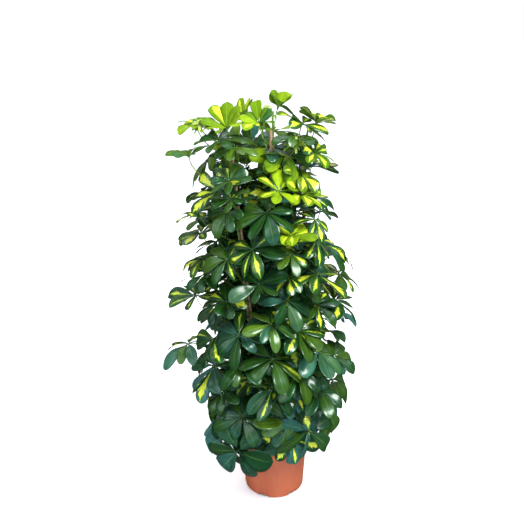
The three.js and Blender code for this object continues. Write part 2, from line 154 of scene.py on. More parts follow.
# %% Leaves listed one by one: x, height and depth in cm, then how far the leaflets lift
CROWN_LEAVES = [
    (0, 136, -5, 1.15), (-24, 131, -4, 0.3), (-15, 130, -8, 0.5), (-10, 132, -1, 0.8), (-6, 131, -9, 0.6),
    (7, 132, -6, 0.35), (7, 127, -9, 0.1), (-17, 127, -9, 0.1), (-12, 128, -12, 0.3), (-26, 123, -5, 0.5),
    (-20, 114, -8, 0.25), (10, 123, -6, 0.4), (8, 117, -9, 0.45), (7, 113, -13, 0.3), (13, 111, -8, 0.2),
    (-9, 119, -15, 0.4), (-8, 124, -4, 0.3), (-24, 105, -8, 0.2), (-9, 111, -17, 0.5), (11, 131, -3, 0.8),
    (8, 108, -13, 0.05), (12, 100, -11, 0.2), (-1, 113, -17, 0.1), (-3, 107, -18, 0.2), (-15, 107, -16, 0.2),
]
# On the front of the column only x and the height are given, in cm.
FRONT_LEAVES = [
    (-17, 29), (-11, 28), (5, 31), (-4, 31), (-19, 33), (-6, 35), (9, 33), (1, 38), (-22, 32), (8, 38),
    (1, 103), (14, 96), (-8, 99), (-24, 96), (19, 92), (6, 96), (-14, 92), (0, 91), (12, 88), (-22, 86),
    (-7, 85), (20, 82), (5, 82), (-15, 79), (-26, 74), (13, 76), (-2, 75), (-10, 70), (20, 70), (6, 69),
    (-20, 65), (-29, 56), (0, 63), (13, 62), (-11, 60), (-20, 54), (6, 56), (19, 56), (-3, 52), (-13, 48),
    (12, 49), (-22, 43), (3, 46), (21, 42), (-8, 41), (-16, 38), (-25, 35), (18, 35),
]
print("placed by hand:", len(CROWN_LEAVES), "in the crown and", len(FRONT_LEAVES), "on the front")

# %% Numbers of the rule, in millimetres
# As on a real shoot, each leaf stands a golden angle round from the last, in the fill and inside.
GOLDEN = 137.507764 * math.pi / 180
FILL_COUNT, FILL_FROM, FILL_TO, FILL_SPACING, OPEN_FROM = 220, 262, 1330, 75, 1040
INNER_COUNT, INNER_FROM, INNER_SPAN, INNER_REACH = 10, 300, 940, 0.56
LENGTHS = [(200, 126), (330, 112), (450, 102), (900, 95), (1100, 90), (1250, 84), (1400, 76)]
HUB_DEPTH, BLADE_HALF = 3, 0.8
LEAF_SEED, REACH_SEED, TRIES = 139623, 70, 26
MASK = 0xFFFFFFFF
print("leaflets from", LENGTHS[-1][1], "to", LENGTHS[0][1], "mm long, and", TRIES, "tries for each leaf")

# %% Seeded numbers and small functions of the rule
def draw(seed):
    """A row of numbers from 0 to 1 that is the same on every run."""
    state = seed & MASK

    def following():
        nonlocal state
        state = (state + 0x6D2B79F5) & MASK
        t = state
        t = ((t ^ (t >> 15)) * (t | 1)) & MASK
        t ^= (t + (((t ^ (t >> 7)) * (t | 61)) & MASK)) & MASK
        return ((t ^ (t >> 14)) & MASK) / 4294967296

    return following


def along(points, x):
    """Read a value at x from a line through (x, value) points."""
    if x <= points[0][0]:
        return points[0][1]
    for (x0, y0), (x1, y1) in zip(points, points[1:]):
        if x <= x1:
            return y0 + (y1 - y0) * (x - x0) / (x1 - x0)
    return points[-1][1]


def clamp(value, low, high):
    return min(high, max(low, value))


def stem_at(stem, z):
    """The middle of a stem at height z: a curve through its foot, middle and tip."""
    mx, my, mz = stem["middle"]
    tx, ty, tz = stem["tip"]
    fx, fy = stem["foot"]
    t = (z - SOIL_TOP) / (tz - SOIL_TOP)
    m = (mz - SOIL_TOP) / (tz - SOIL_TOP)
    bend = t * (1 - t) / (m * (1 - m))
    x = fx + (tx - fx) * t + bend * (mx - fx - (tx - fx) * m)
    y = fy + (ty - fy) * t + bend * (my - fy - (ty - fy) * m)
    return np.array([x, y, z])


def stem_radius(stem, z):
    t = clamp((z - SOIL_TOP) / (stem["tip"][2] - SOIL_TOP), 0, 1)
    return stem["radii"][0] + (stem["radii"][1] - stem["radii"][0]) * t


first = draw(LEAF_SEED)
print("first seeded numbers:", [round(first(), 3) for _ in range(3)])

# %% Where the leaf hubs belong
def spot_point(spot):
    """The point of a place: a turn around the column, a height, and a share of its radius."""
    ring = along(COLUMN, spot["z"]) * spot["reach"]
    x = along(MIDDLE, spot["z"]) + ring * math.sin(spot["turn"])
    return np.array([x, -ring * COLUMN_DEPTH * math.cos(spot["turn"]), spot["z"]])


def shown_spots():
    """The leaves listed one by one: the open crown, then the front of the column."""
    shown = []
    for i, (x, height, y, lift) in enumerate(CROWN_LEAVES):
        z = height * 10
        off, front = x * 10 - along(MIDDLE, z), -y * 10 / COLUMN_DEPTH
        shown.append({"turn": math.atan2(off, front), "z": z, "leaflets": 5 + i % 2,
                      "reach": math.hypot(off, front) / along(COLUMN, z), "lift": lift})
    for i, (x, height) in enumerate(FRONT_LEAVES):
        z = height * 10
        off, ring = x * 10 - along(MIDDLE, z), along(COLUMN, z)
        shown.append({"turn": math.asin(clamp(off / ring, -1, 1)), "z": z, "leaflets": 5 + i % 2,
                      "reach": max(1, abs(off) / ring), "lift": OPEN_LIFT})
    return shown


def all_spots():
    """The shown leaves, then a spiral that fills the gaps between them, then a few inside."""
    shown, fill, inner = shown_spots(), [], []
    for i in range(FILL_COUNT):
        z = FILL_FROM + (FILL_TO - FILL_FROM) * (i + 0.5) / FILL_COUNT
        spot = {"turn": (i * GOLDEN) % (2 * math.pi), "z": z, "reach": 0.84 + 0.24 * draw(REACH_SEED + i)(),
                "leaflets": 5, "lift": OPEN_LIFT}
        point = spot_point(spot)
        near = any(np.linalg.norm(spot_point(o) - point) < FILL_SPACING for o in shown + fill)
        if not (z > OPEN_FROM and i % 3 == 0) and not near:
            fill.append(spot)
    for i in range(INNER_COUNT):
        z = INNER_FROM + INNER_SPAN * (i + 0.5) / INNER_COUNT
        inner.append({"turn": (i * GOLDEN + 1) % (2 * math.pi), "z": z, "reach": INNER_REACH,
                      "leaflets": 5, "lift": OPEN_LIFT})
    return shown + fill + inner


print("places for leaves:", len(all_spots()))

# %% The pose of a leaf at its place
WANDER_FROM, WANDER_MORE = 0.35, 0.055
CROWN_FROM, CROWN_SPAN = 1080, 260
SKIRT_TOP, SKIRT_SPAN = 430, 130
LEAF_STEP, TRY_STEP = 131, 17


def leaf_pose(spot, index, attempt):
    """Hub, facing, size and set of one leaf; each further try wanders further from its place."""
    rnd = draw(LEAF_SEED + index * LEAF_STEP + attempt * TRY_STEP)
    wander = WANDER_FROM + attempt * WANDER_MORE
    moved = {
        "turn": spot["turn"] + (rnd() - 0.5) * 0.42 * wander,
        "z": spot["z"] + (rnd() - 0.5) * 60 * wander,
        "reach": spot["reach"] * (1 + (rnd() - 0.5) * 0.28 * wander),
    }
    hub = spot_point(moved)
    crown = clamp((hub[2] - CROWN_FROM) / CROWN_SPAN, 0, 1)
    skirt = clamp((SKIRT_TOP - hub[2]) / SKIRT_SPAN, 0, 1)
    rise = (60 + 12 * crown - 40 * skirt + (rnd() - 0.5) * 38) * math.pi / 180
    swing = moved["turn"] + (rnd() - 0.5) * 0.9
    normal = np.array([math.sin(swing) * math.cos(rise), -math.cos(swing) * math.cos(rise), math.sin(rise)])
    young = clamp((spot["lift"] - 0.6) / 0.5, 0, 1)
    size = along(LENGTHS, hub[2]) * (1.04 + (rnd() - 0.5) * 0.34) * (1 - 0.01 * attempt) * (1 - 0.3 * young)
    twist = rnd() * 2 * math.pi
    droop = 0.16 + rnd() * 0.22 - 0.06 * crown + 0.16 * skirt
    drop = 70 + rnd() * 60
    lift = spot["lift"] + (rnd() - 0.5) * 0.3
    return {"hub": hub, "normal": normal, "size": size, "twist": twist, "droop": droop, "drop": drop,
            "leaflets": spot["leaflets"], "lift": lift, "seed": rnd()}


def carrier(hub):
    """The stem that a leaf grows from: the nearest one, a little below its hub."""
    def far(stem):
        wood = stem_at(stem, min(hub[2] - 60, stem["tip"][2] - 6))
        return math.hypot(hub[0] - wood[0], hub[1] - wood[1]) + max(0, hub[2] - 90 - stem["tip"][2])
    return min(range(len(STEMS)), key=lambda i: far(STEMS[i]))


print("top leaf, first try:", leaf_pose(all_spots()[0], 0, 0)["hub"].round(1))

# %% Leaves that the photograph singles out, by their number
# The crown has the numbers 0 to 24, the front 25 to 72, and those that fill the column follow.
LIME_LEAVES = {0, 2, 3, 4, 13, 22, 35, 159}
DARK_LEAVES = {6, 7, 8, 15, 16, 18, 23, 24, 25, 26, 31}
BRIGHT_LEAVES = {5, 10, 11, 12, 14, 17, 19, 20, 21, 27, 38, 42, 43, 46, 49, 67, 127, 152}
BIG_LEAVES = {25, 26}
print("lime, dark, splashed and big:", *map(len, (LIME_LEAVES, DARK_LEAVES, BRIGHT_LEAVES, BIG_LEAVES)))

# %% Which try of each leaf the frame holds: one with a point where that leaf's crest belongs
SAME_POINT = 0.05


def frame_points():
    tree = KDTree(sum(len(NODES[name].data.vertices) for name in STEM_NAMES))
    for i, point in enumerate(v.co for name in STEM_NAMES for v in NODES[name].data.vertices):
        tree.insert(point * 1000, i)
    tree.balance()
    return tree


def finer(pose, index):
    """More leaflets than the frame's solid has; the top leaf is a cup and some others differ."""
    pose.update(index=index, stem=carrier(pose["hub"]), broad=0.98)
    pose["count"] = pose["leaflets"] + 2 + int(pose["seed"] * 2)
    if index == 0:
        pose.update(count=5, broad=1.7, lift=2.0, droop=0.5, size=pose["size"] * 1.08)
    elif index in LIME_LEAVES:
        pose.update(broad=0.92, lift=pose["lift"] + 0.3)
    if index in BIG_LEAVES:
        pose.update(count=6, broad=1.3, size=pose["size"] * 1.12)
    return pose


def grown_leaves():
    known = frame_points()
    leaves = []
    for index, spot in enumerate(all_spots()):
        for attempt in range(TRIES):
            pose = leaf_pose(spot, index, attempt)
            crest = pose["hub"] + pose["normal"] * BLADE_HALF
            if known.find(Vector(crest))[2] < SAME_POINT:
                leaves.append(finer(pose, index))
                break
    return leaves


LEAVES = grown_leaves()
print("leaves found in the frame:", len(LEAVES),
      "by stem", [sum(leaf["stem"] == k for leaf in LEAVES) for k in range(len(STEMS))])

# %% [markdown]
# ## Leaflet colours
# A mature leaflet is deep green under a thin layer of wax, which makes it glossy. Many carry a
# yellow splash along the midrib, ragged where it follows the side veins, with a band of middle
# green before the dark margin. Young leaves near the top are lime. A painted texture could show
# all this, but each leaflet would need its own: instead every leaflet stores its age, how far its
# splash spreads, a seed and a tone, and one material works the pattern out from them. In its own
# coordinates v runs 95 mm from the stalk to the tip, and u runs about 42 mm from edge to edge.

# %% Where a shaded point lies on its leaflet
TRAITS = ("age", "splash", "seed", "tone")
LEAFLET_MM = 95


def leaf_places(tree):
    """Signed and plain distance from the midrib, the share of the way to the tip, and the traits."""
    spot = add(tree, "SeparateXYZ", {0: add(tree, "UVMap", {}, uv_map="leaflet")})
    signed = add(tree, "Math", {0: spot.outputs[0], 1: 2.0, 2: -1.0}, operation="MULTIPLY_ADD")
    across = add(tree, "Math", {0: signed}, operation="ABSOLUTE")
    traits = [add(tree, "Attribute", {}, attribute_name=name).outputs["Fac"] for name in TRAITS]
    return signed, across, spot.outputs[1], traits


print("values stored on each leaflet:", TRAITS)

# %% How far the yellow splash reaches
FINGER_MM = 8


def splash_edge(tree, signed, across, v, spread_of, seed):
    """Half width of the splash at v: ragged fingers along the side veins, other ones on each side."""
    side = add(tree, "Math", {0: signed, 1: 0.0}, operation="GREATER_THAN")
    slant = add(tree, "Math", {0: across, 1: -0.34, 2: v}, operation="MULTIPLY_ADD")
    lane = add(tree, "Math", {0: side, 1: 5.3, 2: seed}, operation="MULTIPLY_ADD")
    depth = add(tree, "Math", {0: lane, 1: 37.0}, operation="MULTIPLY")
    where = add(tree, "CombineXYZ", {0: slant, 1: depth})
    fingers = add(tree, "TexNoise", {"Vector": where, "Scale": LEAFLET_MM / FINGER_MM, "Detail": 4.0,
                                     "Roughness": 0.7})
    share = add(tree, "TexWhiteNoise", {"W": lane}, noise_dimensions="1D")
    body = add(tree, "FloatCurve", {1: v})
    curve = body.mapping.curves[0]
    curve.points[0].location, curve.points[1].location = (0.0, 0.0), (1.0, 0.0)
    for x, y in ((0.12, 0.1), (0.45, 0.6), (0.72, 0.95), (0.88, 0.4)):
        curve.points.new(x, y)
    body.mapping.update()
    sided = add(tree, "MapRange", {0: share.outputs["Value"], 3: 0.35, 4: 1.3})
    reach = add(tree, "Math", {0: spread_of, 1: body}, operation="MULTIPLY")
    reach = add(tree, "Math", {0: reach, 1: sided}, operation="MULTIPLY")
    ragged = add(tree, "MapRange", {0: fingers, 1: 0.3, 2: 0.7, 3: 0.15, 4: 1.8})
    return add(tree, "Math", {0: reach, 1: ragged}, operation="MULTIPLY")


print("fingers on a leaflet's length:", round(LEAFLET_MM / FINGER_MM, 1))

# %% The greens of the upper face
def leaf_green(tree, clouds, age, tone):
    """Dark green, bluer where the tone is low, with dust and a painted bluish sheen on the lowest; lime when
    young.
    """
    deep = add(tree, "Mix", {0: tone, 6: srgb("#083420"), 7: srgb("#163E04")}, data_type="RGBA")
    cloudy = add(tree, "Math", {0: clouds, 1: 0.5}, operation="MULTIPLY")
    deep = add(tree, "Mix", {0: cloudy, 6: deep, 7: srgb("#082E0E")}, data_type="RGBA")
    # Painted sheen with some real dust: low-toned leaves get a light teal that stands for a bluish sky
    # reflection.
    dust_and_sheen = add(tree, "MapRange", {0: tone, 1: 0.25, 2: 0.0, 4: 0.9})
    dust_and_sheen = add(tree, "Math", {0: dust_and_sheen, 1: clouds}, operation="MULTIPLY")
    deep = add(tree, "Mix", {0: dust_and_sheen, 6: deep, 7: srgb("#4A8680")}, data_type="RGBA")
    fresh = add(tree, "Mix", {0: tone, 6: srgb("#2F5E08"), 7: srgb("#88A412")}, data_type="RGBA")
    shaded = add(tree, "MapRange", {0: clouds, 1: 0.45, 2: 0.7, 4: 0.5})
    fresh = add(tree, "Mix", {0: shaded, 6: fresh, 7: srgb("#1F4A0A")}, data_type="RGBA")
    return add(tree, "Mix", {0: age, 6: fresh, 7: deep}, data_type="RGBA")


def splashed(tree, green, inside, flakes, age, splash):
    """Yellow well inside the splash's edge, then a thin band of middle green, then the leaf's own."""
    middle = add(tree, "Mix", {0: age, 6: srgb("#86B020"), 7: srgb("#33701A")}, data_type="RGBA")
    yellow = add(tree, "Mix", {0: flakes, 6: srgb("#C4CE10"), 7: srgb("#E6E650")}, data_type="RGBA")
    gap = add(tree, "Math", {0: flakes, 1: 0.2, 2: inside}, operation="MULTIPLY_ADD")
    lit = add(tree, "Math", {0: splash, 1: 0.05}, operation="GREATER_THAN")
    outer = add(tree, "MapRange", {0: gap, 1: 0.0, 2: 0.05, 4: lit})
    inner = add(tree, "MapRange", {0: gap, 1: 0.12, 2: 0.2, 4: lit})
    colour = add(tree, "Mix", {0: outer, 6: green, 7: middle}, data_type="RGBA")
    return add(tree, "Mix", {0: inner, 6: colour, 7: yellow}, data_type="RGBA")


print("greens from", *(round(srgb(code)[1], 3) for code in ("#083420", "#88A412")), "in linear green")

# %% Veins, and the whole upper face
VEIN_MM = 9.6


def side_veins(tree, across, v):
    """Fine lines that slant from the midrib towards the tip."""
    slant = add(tree, "Math", {0: across, 1: -0.42, 2: v}, operation="MULTIPLY_ADD")
    waves = add(tree, "Math", {0: slant, 1: 2 * math.pi * LEAFLET_MM / VEIN_MM}, operation="MULTIPLY")
    return add(tree, "MapRange", {0: add(tree, "Math", {0: waves}, operation="SINE"), 1: 0.8, 2: 1.0})


def leaf_top(name, **finish):
    """The upper face: its green, its splash, faint veins, a pale midrib, and a slightly puckered skin."""
    made, tree, shader = material(name, IOR=1.45, **finish)
    signed, across, v, (age, splash, seed, tone) = leaf_places(tree)
    place_on = add(tree, "TexCoord", {}).outputs["Object"]
    flakes = add(tree, "TexNoise", {"Vector": place_on, "Scale": every(4), "Detail": 2.0})
    clouds = add(tree, "TexNoise", {"Vector": place_on, "Scale": every(26), "Detail": 3.0})
    edge = splash_edge(tree, signed, across, v, splash, seed)
    inside = add(tree, "Math", {0: edge, 1: across}, operation="SUBTRACT")
    colour = splashed(tree, leaf_green(tree, clouds, age, tone), inside, flakes, age, splash)
    veins = side_veins(tree, across, v)
    faint = add(tree, "Math", {0: veins, 1: 0.08}, operation="MULTIPLY")
    colour = add(tree, "Mix", {0: faint, 6: colour, 7: srgb("#8FB45A")}, data_type="RGBA")
    rib = add(tree, "MapRange", {0: across, 1: 0.075, 2: 0.025})
    fading = add(tree, "MapRange", {0: v, 1: 1.0, 2: 0.1, 3: 0.08, 4: 0.55})
    fading = add(tree, "Math", {0: rib, 1: fading}, operation="MULTIPLY")
    pale = add(tree, "Mix", {0: age, 6: srgb("#B2CC50"), 7: srgb("#6C9438")}, data_type="RGBA")
    colour = add(tree, "Mix", {0: fading, 6: colour, 7: pale}, data_type="RGBA")
    newborn = add(tree, "MapRange", {0: age, 1: 0.0, 2: -0.5})
    colour = add(tree, "Mix", {0: newborn, 6: colour, 7: srgb("#B4C46A")}, data_type="RGBA")
    height = add(tree, "Math", {0: veins, 1: -0.5, 2: rib}, operation="MULTIPLY_ADD")
    height = add(tree, "Math", {0: clouds, 1: 2.2, 2: height}, operation="MULTIPLY_ADD")
    bump = add(tree, "Bump", {"Height": height, "Strength": 0.35, "Distance": 0.0006})
    feed(tree, shader, {"Base Color": colour, "Normal": bump})
    return made


# Wax over a deep colour: a clear, slightly blurred gloss, and a green tint in the skin under it.
MATURE = leaf_top("leaf_upper_face_waxed", Roughness=0.36, Specular_IOR_Level=0.3,
                  Specular_Tint=srgb("#7CDDBC"), Coat_Weight=1.0, Coat_Roughness=0.2, Coat_IOR=1.45)
# Young skin has little wax yet: a broad soft sheen, so that lime leaves look tender and never wet.
TENDER = leaf_top("young_leaf_upper_face_soft", Roughness=0.45, Specular_IOR_Level=0.25,
                  Specular_Tint=srgb("#BCDD59"))
print("upper faces:", MATURE.name, "and", TENDER.name, "with", len(MATURE.node_tree.nodes), "nodes")

# %% [markdown]
# ## The underside, stalks and wood
# The underside is paler and matte, because it carries no wax, with a pale rib. Stalks are smooth
# and green with a faint brown flush. A stem starts as grey-brown bark at the soil, with grain a
# few millimetres long, and turns green towards its tip.

# %% The underside
def leaf_under():
    """No wax: a matte, paler face, so that a turned leaflet reads as a soft light patch."""
    made, tree, shader = material("leaf_underside_matte", Roughness=0.6, IOR=1.42)
    signed, across, v, (age, splash, seed, _) = leaf_places(tree)
    edge = splash_edge(tree, signed, across, v, splash, seed)
    base = add(tree, "Mix", {0: age, 6: srgb("#6F9E1E"), 7: srgb("#2E5420")}, data_type="RGBA")
    gap = add(tree, "Math", {0: edge, 1: across}, operation="SUBTRACT")
    lit = add(tree, "Math", {0: splash, 1: 0.05}, operation="GREATER_THAN")
    inner = add(tree, "MapRange", {0: gap, 1: 0.0, 2: 0.1, 4: lit})
    colour = add(tree, "Mix", {0: inner, 6: base, 7: srgb("#C6C870")}, data_type="RGBA")
    rib = add(tree, "MapRange", {0: across, 1: 0.1, 2: 0.04})
    colour = add(tree, "Mix", {0: rib, 6: colour, 7: srgb("#9CB86C")}, data_type="RGBA")
    feed(tree, shader, {"Base Color": colour})
    return made


UNDERSIDE = leaf_under()
print("underside:", UNDERSIDE.name)

# %% Stalk skin and bark
def stalk_skin():
    """Smooth skin with a low sheen, so that each stalk shows one thin light line along its length."""
    made, tree, shader = material("leaf_stalk_green_skin", Roughness=0.42, IOR=1.45)
    place_on = add(tree, "TexCoord", {}).outputs["Object"]
    spots = add(tree, "TexNoise", {"Vector": place_on, "Scale": every(33), "Detail": 3.0})
    age = add(tree, "Attribute", {}, attribute_name="age").outputs["Fac"]
    green = add(tree, "Mix", {0: age, 6: srgb("#8FAE34"), 7: srgb("#54722A")}, data_type="RGBA")
    flush = add(tree, "MapRange", {0: spots, 1: 0.5, 2: 0.72, 4: 0.7})
    colour = add(tree, "Mix", {0: flush, 6: green, 7: srgb("#6E5A34")}, data_type="RGBA")
    feed(tree, shader, {"Base Color": colour})
    return made


def bark():
    """Dry bark: matte, with 2.4 mm grain; its border with the young green above wanders in patches."""
    made, tree, shader = material("stem_bark_brown_to_green", Roughness=0.7, IOR=1.45)
    place_on = add(tree, "TexCoord", {}).outputs["Object"]
    height = add(tree, "SeparateXYZ", {0: place_on}).outputs[2]
    stretched = add(tree, "Mapping", {"Vector": place_on, "Scale": (1.0, 1.0, 0.22)})
    grain = add(tree, "TexNoise", {"Vector": stretched, "Scale": every(2.4), "Detail": 4.0})
    patches = add(tree, "TexNoise", {"Vector": place_on, "Scale": every(42), "Detail": 2.0})
    lifted = add(tree, "Math", {0: patches, 1: 0.5, 2: height}, operation="MULTIPLY_ADD")
    share = add(tree, "MapRange", {0: lifted, 1: 0.7, 2: 1.35})
    wood = add(tree, "Mix", {0: grain, 6: srgb("#5F4F38"), 7: srgb("#9A8462")}, data_type="RGBA")
    young = add(tree, "Mix", {0: grain, 6: srgb("#55702E"), 7: srgb("#86A14A")}, data_type="RGBA")
    colour = add(tree, "Mix", {0: share, 6: wood, 7: young}, data_type="RGBA")
    bump = add(tree, "Bump", {"Height": grain, "Strength": 0.5, "Distance": 0.0006})
    feed(tree, shader, {"Base Color": colour, "Normal": bump})
    return made


LEAF_SKINS = [MATURE, UNDERSIDE, stalk_skin(), TENDER]
UPPER, UNDER, STALK, YOUNG_UPPER = range(len(LEAF_SKINS))
BARK = bark()
print("leaf and stem materials:", [m.name for m in LEAF_SKINS + [BARK]])

# %% [markdown]
# ## One leaflet
# A leaflet is a thin, glossy blade, narrow at its stalk and broad towards a round tip. It arches
# down, its edges curl a little, and each one rolls its own way. It is built as a grid of points
# along and across, given a real thickness with a rib under it, so that both faces show.

# %% Leaflet form
# Stations along it and half its width there, as shares of its length; lanes from edge to edge.
STATIONS = np.array([0.02, 0.11, 0.19, 0.29, 0.4, 0.52, 0.64, 0.75, 0.845, 0.915, 0.96, 0.987, 1.0])
WIDTHS = np.array([0.012, 0.021, 0.058, 0.108, 0.156, 0.195, 0.217, 0.22, 0.2, 0.162, 0.117, 0.068, 0.02])
LANES = np.array([-1.0, -0.74, -0.4, 0.0, 0.4, 0.74, 1.0])


def leaflet_grid(rows, lanes):
    """Stations, lanes, faces and UVs of a thin blade: the upper face first, then the underside."""
    stations, count, cols = STATIONS[rows], len(rows), len(lanes)

    def at(r, c, under):
        return (count * cols if under else 0) + r * cols + c

    faces, slots = [], []
    for r in range(count - 1):
        for c in range(cols - 1):
            faces.append((at(r, c, 0), at(r + 1, c, 0), at(r + 1, c + 1, 0), at(r, c + 1, 0)))
            faces.append((at(r, c, 1), at(r, c + 1, 1), at(r + 1, c + 1, 1), at(r + 1, c, 1)))
            slots += [UPPER, UNDER]
    rim = [(r, 0) for r in range(count)] + [(count - 1, c) for c in range(1, cols)]
    rim += [(r, cols - 1) for r in range(count - 2, -1, -1)] + [(0, c) for c in range(cols - 2, 0, -1)]
    for (r0, c0), (r1, c1) in zip(rim, rim[1:] + rim[:1]):
        faces.append((at(r1, c1, 0), at(r0, c0, 0), at(r0, c0, 1), at(r1, c1, 1)))
        slots.append(UPPER)
    uv = np.stack(np.broadcast_arrays((lanes[None, :] + 1) / 2, stations[:, None]), -1).reshape(-1, 2)
    return {"u": stations[:, None], "v": lanes[None, :], "half": WIDTHS[rows][:, None],
            "faces": np.array(faces), "slots": slots, "uv": np.concatenate([uv, uv])}


FINE = leaflet_grid(np.arange(len(STATIONS)), LANES)
COARSE = leaflet_grid(np.array([0, 2, 4, 6, 8, 10, 12]), LANES[[0, 2, 3, 4, 6]])
print("faces on one leaflet:", len(FINE["faces"]), "and in the shade:", len(COARSE["faces"]))

# %% Points of one leaflet
def blade_heights(grid, leaf, length, half, rnd):
    """How far the blade stands above its leaf's plane: lift, arch, curled tip, trough and waves."""
    u, v = grid["u"], grid["v"]
    lift = leaf["lift"] + (rnd() - 0.5) * 0.34
    droop = leaf["droop"] * (0.6 + 0.9 * rnd())
    curl, wave = 0.02 + 0.1 * rnd(), rnd() * 6.28
    trough = -0.34 + 0.5 * rnd()
    s = u * length / math.hypot(1, lift)
    height = lift * s - droop * s * u - curl * length * np.clip((u - 0.68) / 0.32, 0, 1) ** 2
    height = height + trough * half * v ** 2 + 0.12 * half * np.abs(v)
    return s, height + 0.016 * length * np.sin(wave + u * 7.0 + v * 1.3) * v ** 2


def leaflet_points(grid, leaf, axes, angle, length, rnd):
    """Points of one leaflet in metres: upper face, then underside, half a millimetre or so apart."""
    (a, b), n = axes, leaf["normal"]
    radial = a * math.cos(angle) + b * math.sin(angle)
    lateral = -a * math.sin(angle) + b * math.cos(angle)
    u, v = grid["u"], grid["v"]
    half = grid["half"] * length * leaf["broad"] * (0.94 + 0.2 * rnd())
    s, height = blade_heights(grid, leaf, length, half, rnd)
    roll = (rnd() - 0.5) * 1.15 * np.clip((u - 0.06) / 0.3, 0, 1)
    sway = (rnd() - 0.5) * 0.14 * length * u ** 2
    flat = half * v * np.cos(roll) + sway
    height = height + half * v * np.sin(roll)
    points = leaf["hub"] + radial * s[..., None] + lateral * flat[..., None] + n * height[..., None]
    normals = np.cross(np.gradient(points, axis=0), np.gradient(points, axis=1))
    normals /= np.linalg.norm(normals, axis=2, keepdims=True) + 1e-12
    normals *= np.sign((normals * n).sum(axis=2).mean()) or 1
    thick = (0.26 + 0.8 * np.clip(1 - (u - 0.05) / 0.2, 0, 1)) * (1 - 0.45 * np.abs(v) ** 3)
    rib = 0.7 * np.clip(1 - np.abs(v) / 0.3, 0, 1) * (1 - 0.75 * u)
    top = points + normals * thick[..., None]
    under = points - normals * (thick + rib)[..., None]
    return np.concatenate([top.reshape(-1, 3), under.reshape(-1, 3)]) / 1000


print("widest at", STATIONS[WIDTHS.argmax()], "of its length:", round(2 * WIDTHS.max() * LEAFLET_MM), "mm")

# %% [markdown]
# ## Whole leaves
# Seven to nine leaflets spread like umbrella spokes from a small knob at the end of a long stalk.
# The stalk curves out of the stem, where it widens into a sheath. Single meshes for so many leaves
# would be slow to handle, so they are gathered into a few pieces for each stem.

# %% Tubes, for everything that is long and round
def tube(centres, radii, sides):
    """Points in metres and faces of a closed tube around a line of centres in millimetres."""
    centres = np.array(centres, float)
    axes = np.gradient(centres, axis=0)
    axes /= np.linalg.norm(axes, axis=1, keepdims=True)
    across = np.cross(axes[0], [0.31, 0.87, 0.12])
    rings = []
    for centre, axis, radius in zip(centres, axes, radii):
        across = across - axis * across.dot(axis)
        across /= np.linalg.norm(across)
        other = np.cross(axis, across)
        turns = np.arange(sides) * 2 * math.pi / sides
        rings.append(centre + radius * (np.cos(turns)[:, None] * across + np.sin(turns)[:, None] * other))
    points = np.concatenate(rings + [centres[:1], centres[-1:]])
    first, last, end = len(points) - 2, len(points) - 1, (len(centres) - 1) * sides
    around = [(k, (k + 1) % sides) for k in range(sides)]
    faces = [(j + k, j + n, j + sides + n, j + sides + k) for j in range(0, end, sides) for k, n in around]
    faces += [(first, n, k) for k, n in around] + [(last, end + k, end + n) for k, n in around]
    return points / 1000, faces


print("faces on a tube of 13 rings:", len(tube([(0, 0, z) for z in range(13)], [1] * 13, 8)[1]))

# %% Many leaves in one mesh
class Gathered:
    """Points, faces and leaf values of many leaves, on their way into one mesh."""

    def __init__(self):
        self.points, self.faces, self.slots, self.uv, self.values = [], [], [], [], []
        self.count = 0

    def take(self, points, faces, slots, uv, values):
        self.points.append(points)
        self.faces += [tuple(int(i) + self.count for i in face) for face in faces]
        self.slots += slots
        self.uv.append(uv)
        self.values.append(np.tile(values, (len(points), 1)))
        self.count += len(points)

    def take_stalk(self, centres, radii, sides, age):
        """A tube in stalk skin; it has a place in the leaflet coordinates, but no use for it."""
        points, faces = tube(centres, radii, sides)
        uv = np.full((len(points), 2), 0.5)
        self.take(points, faces, [STALK] * len(faces), uv, (age, 0.0, 0.5, 0.5))

    def finish(self, name, materials):
        made = mesh_object(name, np.concatenate(self.points), self.faces, materials, self.slots)
        mesh = made.data
        layer = mesh.uv_layers.new(name="leaflet")
        corners = np.empty(len(mesh.loops), np.int32)
        mesh.loops.foreach_get("vertex_index", corners)
        layer.data.foreach_set("uv", np.concatenate(self.uv)[corners].astype(np.float32).ravel())
        for k, key in enumerate(TRAITS):
            stored = mesh.attributes.new(key, "FLOAT", "POINT")
            stored.data.foreach_set("value", np.concatenate(self.values)[:, k].astype(np.float32))
        return made


print("skins on a leaf piece:", [skin.name for skin in LEAF_SKINS])

# %% How a leaf looks: its age, and its share of leaflets with a splash
LOOK_SEED, LOOK_STEP = 90000, 53
LIME_AGE, YOUNG_AGE = 0.25, 0.6


def leaf_axes(leaf):
    """Two directions in the leaf's plane."""
    a = np.cross([0.0, 0.0, 1.0], leaf["normal"])
    a /= np.linalg.norm(a)
    return a, np.cross(leaf["normal"], a)


def leaf_look(leaf, rnd):
    """Age from 0, just unfolded, to 1; and the share. Higher leaves are younger and more splashed."""
    young = clamp((leaf["hub"][2] - 1090) / 240, 0, 1)
    age = clamp(1.1 - 1.3 * young * rnd() - 0.4 * rnd() ** 3, 0, 1)
    if leaf["index"] in LIME_LEAVES:
        age = LIME_AGE * rnd()
    elif leaf["index"] in DARK_LEAVES:
        age = 1.0 - 0.2 * rnd()
    high = clamp((leaf["hub"][2] - 500) / 550, 0, 1)
    kind = rnd() + 0.22 * high - 0.12
    if leaf["index"] in BRIGHT_LEAVES:
        return age, 0.9
    if leaf["index"] in DARK_LEAVES:
        return age, 0.04
    if leaf["index"] in LIME_LEAVES:
        return age, 0.4 if leaf["index"] > 4 else 0.1 * leaf["index"] - 0.1
    # Half of the others are nearly plain, some have a splash on every fifth leaflet, the rest on most.
    return age, 0.03 if kind < 0.5 else 0.22 if kind < 0.82 else 0.5 + 0.3 * high


print("top leaf's age and share:", [round(v, 2) for v in leaf_look(LEAVES[0], draw(LOOK_SEED))])

